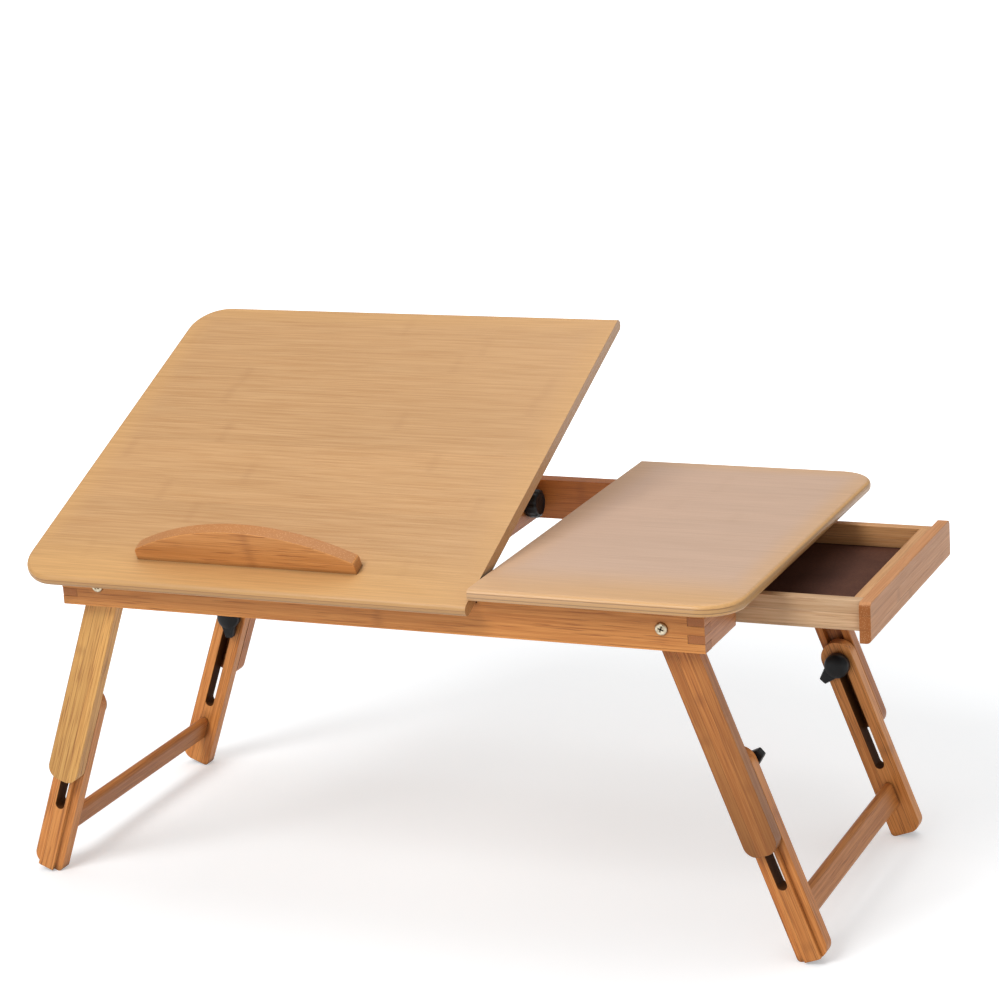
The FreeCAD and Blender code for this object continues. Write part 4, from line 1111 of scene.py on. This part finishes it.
@dataclass(frozen=True)
class WingKnob:
    """Domed hub with a blind bore and one tapered wing."""

    corner: str
    turn: float
    hub: tuple[tuple[float, float], ...] = (
        (0.0, 8.0),
        (3.05, 8.0),
        (3.05, 0.0),
        (7.4, 0.0),
        (8.2, 0.7),
        (8.5, 1.8),
        (8.5, 5.2),
        (8.3, 6.3),
        (7.6, 7.4),
        (6.2, 8.2),
        (4.2, 8.8),
        (2.0, 9.1),
        (0.0, 9.2),
    )
    wing_start: float = 3.4
    wing_root: float = 6.2
    wing_tip: float = 2.9
    wing_corner: float = 1.1
    wing_reach: float = 15.0
    wing_levels: tuple[tuple[float, float], ...] = ((1.2, 0.93), (2.0, 1.0), (6.2, 1.0), (7.2, 0.9))

    def build(self, grain: Grain, plastic: Finish) -> Piece:
        """Build the knob on its stud.

        Args:
            grain: Which way its leg runs.
            plastic: The knob's material.

        Returns:
            The new piece.
        """
        node = f"wing_knob_{self.corner}"
        low, high = (Vector(corner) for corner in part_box(node))
        stud_low, stud_high = (Vector(corner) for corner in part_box(f"clamp_stud_{self.corner}"))
        middle = (stud_low + stud_high) / 2
        front = self.corner.endswith("front")
        axis = Vector((0.0, 1.0, 0.0)) if front else Vector((0.0, -1.0, 0.0))
        foot = Vector((middle.x, low.y if front else high.y, middle.z))
        down = Vector(grain.value[0])
        inward = Vector((down.z, 0.0, -down.x)) * (1 if down.x > 0 else -1)
        angle = math.radians(self.turn)
        aim = down * math.cos(angle) + inward * math.sin(angle)
        inset = self.wing_tip - self.wing_corner
        half = [
            (
                self.wing_reach + self.wing_corner * (math.cos(math.radians(bearing)) - 1),
                inset + self.wing_corner * math.sin(math.radians(bearing)),
            )
            for bearing in range(0, 76, 15)
        ]
        lower = [(across, -beside) for across, beside in reversed(half)]
        start, root = self.wing_start, self.wing_root
        outline = [(start, -root), *lower, *half, (start, root)]
        solid = combine(spin_solid(self.hub), stack_solid(outline, self.wing_levels), "UNION")
        stand(solid, foot, axis, aim)
        piece = place_piece(solid, f"{node}_grip", node, f"{self.corner}_knob", smooth=40.0)
        dress(piece, plastic)
        return piece


@dataclass
class Legs:
    """Telescoping legs of one side with their stretcher and wing knobs."""

    side: str
    seed: int
    uppers: tuple[Bamboo, Bamboo]
    lowers: tuple[Bamboo, Bamboo]
    fades: tuple[float, float]
    knob_turns: tuple[float, float]
    edge: float = 0.7

    def build(self) -> list[Piece]:
        """Build the pair of legs.

        Returns:
            The new pieces.
        """
        left = self.side == "left"
        grain = Grain.LEFT_LEG if left else Grain.RIGHT_LEG
        rung = Grain.LEFT_STRETCHER if left else Grain.RIGHT_STRETCHER
        plastic = Moulded().skin(self.side)
        boards: list[Board] = []
        knobs: list[WingKnob] = []
        for number, end in enumerate(("front", "back")):
            corner = f"{self.side}_{end}"
            cut = (grain, Slot.FRAME, self.edge)
            upper, lower = self.uppers[number], self.lowers[number]
            boards.append(Board(f"upper_leg_{corner}", upper, *cut, self.fades[number]))
            boards.append(LowerLeg(f"lower_leg_{corner}", lower, *cut))
            knobs.append(WingKnob(corner, self.knob_turns[number]))
        boards.append(Board(f"stretcher_{self.side}", SHADED_RUNG, rung, Slot.FRAME, self.edge))
        made = [board.build(self.seed + number) for number, board in enumerate(boards)]
        return made + [knob.build(grain, plastic) for knob in knobs]


@dataclass
class DrawerFace(Board):
    """The drawer's front board, its lower outer edge rounded for the fingers."""

    finger_radius: float = 3.2

    def shape(self) -> Shell:
        """Copy the board and round its lower outer edge.

        Returns:
            The shell.
        """
        shell = clean_shell(self.node)
        outer = max(vertex.co.x for vertex in shell.verts)
        bottom = min(vertex.co.z for vertex in shell.verts)
        hold = [
            edge
            for edge in shell.edges
            if all(
                abs(vertex.co.x - outer) < MM / 10 and abs(vertex.co.z - bottom) < MM / 10
                for vertex in edge.verts
            )
        ]
        round_edges(shell, hold, self.finger_radius, segments=5)
        return shell


@dataclass
class Drawer:
    """Side drawer: its front board, box, hardboard bottom and runners."""

    edge: float = 0.5

    def build(self) -> list[Piece]:
        """Build the drawer and its runners.

        Returns:
            The new pieces.
        """
        plan = (
            ("drawer_inner_front", DRAWER_INSIDE, Grain.CROSS_RAIL),
            ("drawer_side_front", DRAWER, Grain.LONG_RAIL),
            ("drawer_side_back", DRAWER_INSIDE, Grain.LONG_RAIL),
            ("drawer_back", DRAWER_INSIDE, Grain.CROSS_RAIL),
            ("drawer_runner_front", DRAWER, Grain.LONG_RAIL),
            ("drawer_runner_back", DRAWER, Grain.LONG_RAIL),
        )
        face = DrawerFace("drawer_front", DRAWER_FACE, Grain.CROSS_RAIL, Slot.LIGHT, self.edge)
        boards = [face] + [Board(*cut, Slot.LIGHT, self.edge) for cut in plan]
        made = [board.build(60 + number) for number, board in enumerate(boards)]
        repaint("drawer_bottom", Hardboard().sheet())
        return made


@dataclass(frozen=True)
class CrossRecess:
    """Cross-shaped recess pressed into a pan head."""

    reach: float = 2.2
    half_width: float = 0.46
    levels: tuple[tuple[float, float], ...] = ((0.3, 1.1), (0.0, 1.0), (-1.3, 0.55))

    def press(self, corner: str, bearing: float, steel: Finish) -> Piece:
        """Cut the recess into a leg's pivot screw.

        Args:
            corner: The leg's corner.
            bearing: Turn of the cross in degrees.
            steel: The screw's material.

        Returns:
            The new piece.
        """
        node = f"pivot_screw_{corner}"
        low, high = (Vector(part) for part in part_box(node))
        front = corner.endswith("front")
        axis = Vector((0.0, -1.0, 0.0)) if front else Vector((0.0, 1.0, 0.0))
        face = Vector(((low.x + high.x) / 2, low.y if front else high.y, (low.z + high.z) / 2))
        arm, half = self.reach, self.half_width
        quarter = ((arm, -half), (arm, half), (half, half))
        outline = []
        for turn in range(4):
            cosine, sine = math.cos(turn * math.pi / 2), math.sin(turn * math.pi / 2)
            outline += [(x * cosine - y * sine, x * sine + y * cosine) for x, y in quarter]
        cutter = stack_solid(outline, self.levels)
        angle = math.radians(bearing)
        stand(cutter, face, axis, Vector((math.cos(angle), 0.0, math.sin(angle))))
        shell = combine(clean_shell(node), cutter, "DIFFERENCE")
        piece = place_piece(shell, f"{node}_head", node, "base", smooth=30.0)
        dress(piece, steel)
        return piece


@dataclass
class Fittings:
    """Hinges, prop with its fluted knob, pivot screws, studs and nuts."""

    flutes: int = 14
    grip: tuple[tuple[float, float], ...] = (
        (0.0, 8.0),
        (3.05, 8.0),
        (3.05, 0.0),
        (8.4, 0.0),
        (9.6, 0.9),
        (10.0, 2.0),
        (10.0, 7.6),
        (9.3, 8.8),
        (7.6, 9.4),
        (6.6, 9.2),
        (6.0, 8.7),
        (3.0, 8.6),
        (0.0, 8.6),
    )

    def build(self) -> list[Piece]:
        """Dress the small fittings.

        Returns:
            The new pieces.
        """
        steel = Plated().metal()
        for node in frame["nodes"]:
            if node.startswith(("hinge_", "pivot_nut", "clamp_stud")) or node == "prop_bolt":
                repaint(node, steel)
        prop = Board("prop_arm", SHADED_RAIL, Grain.PROP, Slot.FRAME, 0.6)
        strip = Board("notched_strip", SHADED_RAIL, Grain.TILTED_TOP, Slot.FRAME, 0.2)
        bearings = {"left_front": 52.0, "left_back": 20.0, "right_front": 70.0, "right_back": 35.0}
        recess = CrossRecess()
        heads = [recess.press(corner, bearing, steel) for corner, bearing in bearings.items()]
        return [prop.build(81), strip.build(82), self.turn_prop_knob(), *heads]

    def turn_prop_knob(self) -> Piece:
        """Build the round knob that clamps the prop.

        Returns:
            The new piece.
        """
        low, high = (Vector(corner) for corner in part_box("prop_knob"))
        solid = spin_solid(self.grip, steps=84, flutes=self.flutes, depth=0.06)
        foot = Vector((low.x, (low.y + high.y) / 2, (low.z + high.z) / 2))
        stand(solid, foot, Vector((1.0, 0.0, 0.0)), Vector((0.0, 0.0, 1.0)))
        piece = place_piece(solid, "prop_knob_grip", "prop_knob", "prop_clamp", smooth=40.0)
        dress(piece, Moulded().skin("prop"))
        return piece


@dataclass
class Studio:
    """Plain pale floor, soft lamps and the camera."""

    eye: Triple = (0.782137, -1.631050, 0.763878)
    right: Triple = (0.91517888, 0.39790708, -0.0641683)
    up: Triple = (-0.05640889, 0.28409155, 0.95713637)
    lens: float = 102.12
    shift: tuple[float, float] = (-0.0196, 0.0267)
    lamps: tuple[tuple[str, Triple, float, float], ...] = (
        ("key", (-0.75, -2.1, 2.35), 1.4, 51.0),
        ("fill", (1.9, -1.3, 1.5), 1.8, 6.0),
        ("overhead", (0.1, 0.5, 2.6), 2.2, 24.0),
    )
    world_light: float = 0.38
    paper: Colour = (0.80, 0.82, 0.835)
    floor_half: float = 9.0
    glow_near: float = 0.42
    glow_far: float = 1.1
    glow_least: float = 0.35

    def build(self) -> None:
        """Set up the floor, world, lamps and camera."""
        self.lay_floor()
        self.light_world()
        for lamp in self.lamps:
            self.hang_lamp(*lamp)
        self.set_camera()

    def lay_floor(self) -> None:
        """Lay a pale floor that shows white to the camera and keeps the shadow."""
        shell = bmesh.new()
        bmesh.ops.create_grid(shell, x_segments=1, y_segments=1, size=self.floor_half)
        mesh = bpy.data.meshes.new("studio_floor")
        shell.to_mesh(mesh)
        shell.free()
        floor = bpy.data.objects.new("studio_floor", mesh)
        bpy.context.scene.collection.objects.link(floor)
        recipe = Recipe("floor_paper")
        path = recipe.node("ShaderNodeLightPath")
        seen = recipe.math("MAXIMUM", path.outputs["Is Camera Ray"], path.outputs["Is Glossy Ray"])
        seen = recipe.math("MAXIMUM", seen, path.outputs["Is Transmission Ray"])
        paper = recipe.node("ShaderNodeBsdfDiffuse", {"Color": (*self.paper, 1.0)})
        place = recipe.node("ShaderNodeTexCoord").outputs["Object"]
        away = recipe.vector("LENGTH", place).outputs["Value"]
        lift = recipe.step(away, self.glow_near, self.glow_far, self.glow_least, 1.0)
        glow = recipe.node(
            "ShaderNodeEmission",
            {"Color": (1.0, 1.0, 1.0, 1.0), "Strength": recipe.math("MULTIPLY", seen, lift)},
        )
        both = recipe.node("ShaderNodeAddShader", {0: paper.outputs[0], 1: glow.outputs[0]})
        output = recipe.node("ShaderNodeOutputMaterial")
        recipe.tree.links.new(both.outputs[0], output.inputs[0])
        mesh.materials.append(recipe.material)

    def light_world(self) -> None:
        """Light everything softly and show white behind the floor."""
        world = bpy.data.worlds.new("studio_world")
        bpy.context.scene.world = world
        world.use_nodes = True
        tree = world.node_tree
        tree.nodes.clear()
        path = tree.nodes.new("ShaderNodeLightPath")
        seen = tree.nodes.new("ShaderNodeMath")
        seen.operation = "MULTIPLY_ADD"
        seen.inputs[1].default_value = 1.0 - self.world_light
        seen.inputs[2].default_value = self.world_light
        tree.links.new(path.outputs["Is Camera Ray"], seen.inputs[0])
        sky = tree.nodes.new("ShaderNodeBackground")
        sky.inputs["Color"].default_value = (1.0, 1.0, 1.0, 1.0)
        tree.links.new(seen.outputs[0], sky.inputs["Strength"])
        output = tree.nodes.new("ShaderNodeOutputWorld")
        tree.links.new(sky.outputs[0], output.inputs[0])

    def hang_lamp(self, name: str, place: Sequence[float], size: float, power: float) -> None:
        """Hang one soft box that faces the stand.

        Args:
            name: The lamp's name.
            place: Where it hangs, in metres.
            size: Its side in metres.
            power: Its power in watts.
        """
        light = bpy.data.lights.new(name, "AREA")
        light.energy = power
        light.shape = "SQUARE"
        light.size = size
        lamp = bpy.data.objects.new(name, light)
        lamp.location = place
        aim = Vector((0.0, 0.0, 0.2)) - Vector(place)
        lamp.rotation_euler = aim.to_track_quat("-Z", "Y").to_euler()
        bpy.context.scene.collection.objects.link(lamp)

    def set_camera(self) -> None:
        """Stand the camera at the chosen place and angle."""
        right, up = Vector(self.right).normalized(), Vector(self.up).normalized()
        back = right.cross(up)
        lens = bpy.data.cameras.new("camera")
        lens.lens = self.lens
        lens.sensor_width = 36.0
        lens.shift_x, lens.shift_y = self.shift
        lens.clip_end = 60.0
        camera = bpy.data.objects.new("camera", lens)
        turn = Matrix((right, up, back)).transposed().to_4x4()
        camera.matrix_world = Matrix.Translation(self.eye) @ turn
        bpy.context.scene.collection.objects.link(camera)
        bpy.context.scene.camera = camera


def main() -> None:
    """Build the stand piece by piece, then the studio, and log each piece's face count."""
    logging.basicConfig(level=logging.INFO, format="%(message)s")
    bpy.context.scene.view_settings.view_transform = "Standard"
    # Each leg takes a lit, plain or shaded copy of one bamboo: painted light and shade by where it
    # stands.
    left_pair = (FULL_LIGHT_LEG, SHADED_LEG), (LIT_LEG, LIT_LEG)
    right_pair = (LEG, SHADED_LEG), (LEG, LIT_LEG)
    left_legs = Legs("left", 40, *left_pair, (0.14, 0.0), (-60.0, 20.5))
    right_legs = Legs("right", 50, *right_pair, (0.48, 0.32), (-112.0, 62.0))
    assemblies = [Tops(), Framework(), left_legs, right_legs, Drawer(), Fittings()]
    for assembly in assemblies:
        for piece in assembly.build():
            faces = len(piece.data.polygons)
            log.info("%s: %s, %d faces", type(assembly).__name__, piece.name, faces)
    Studio().build()


if __name__ == "__main__":
    main()
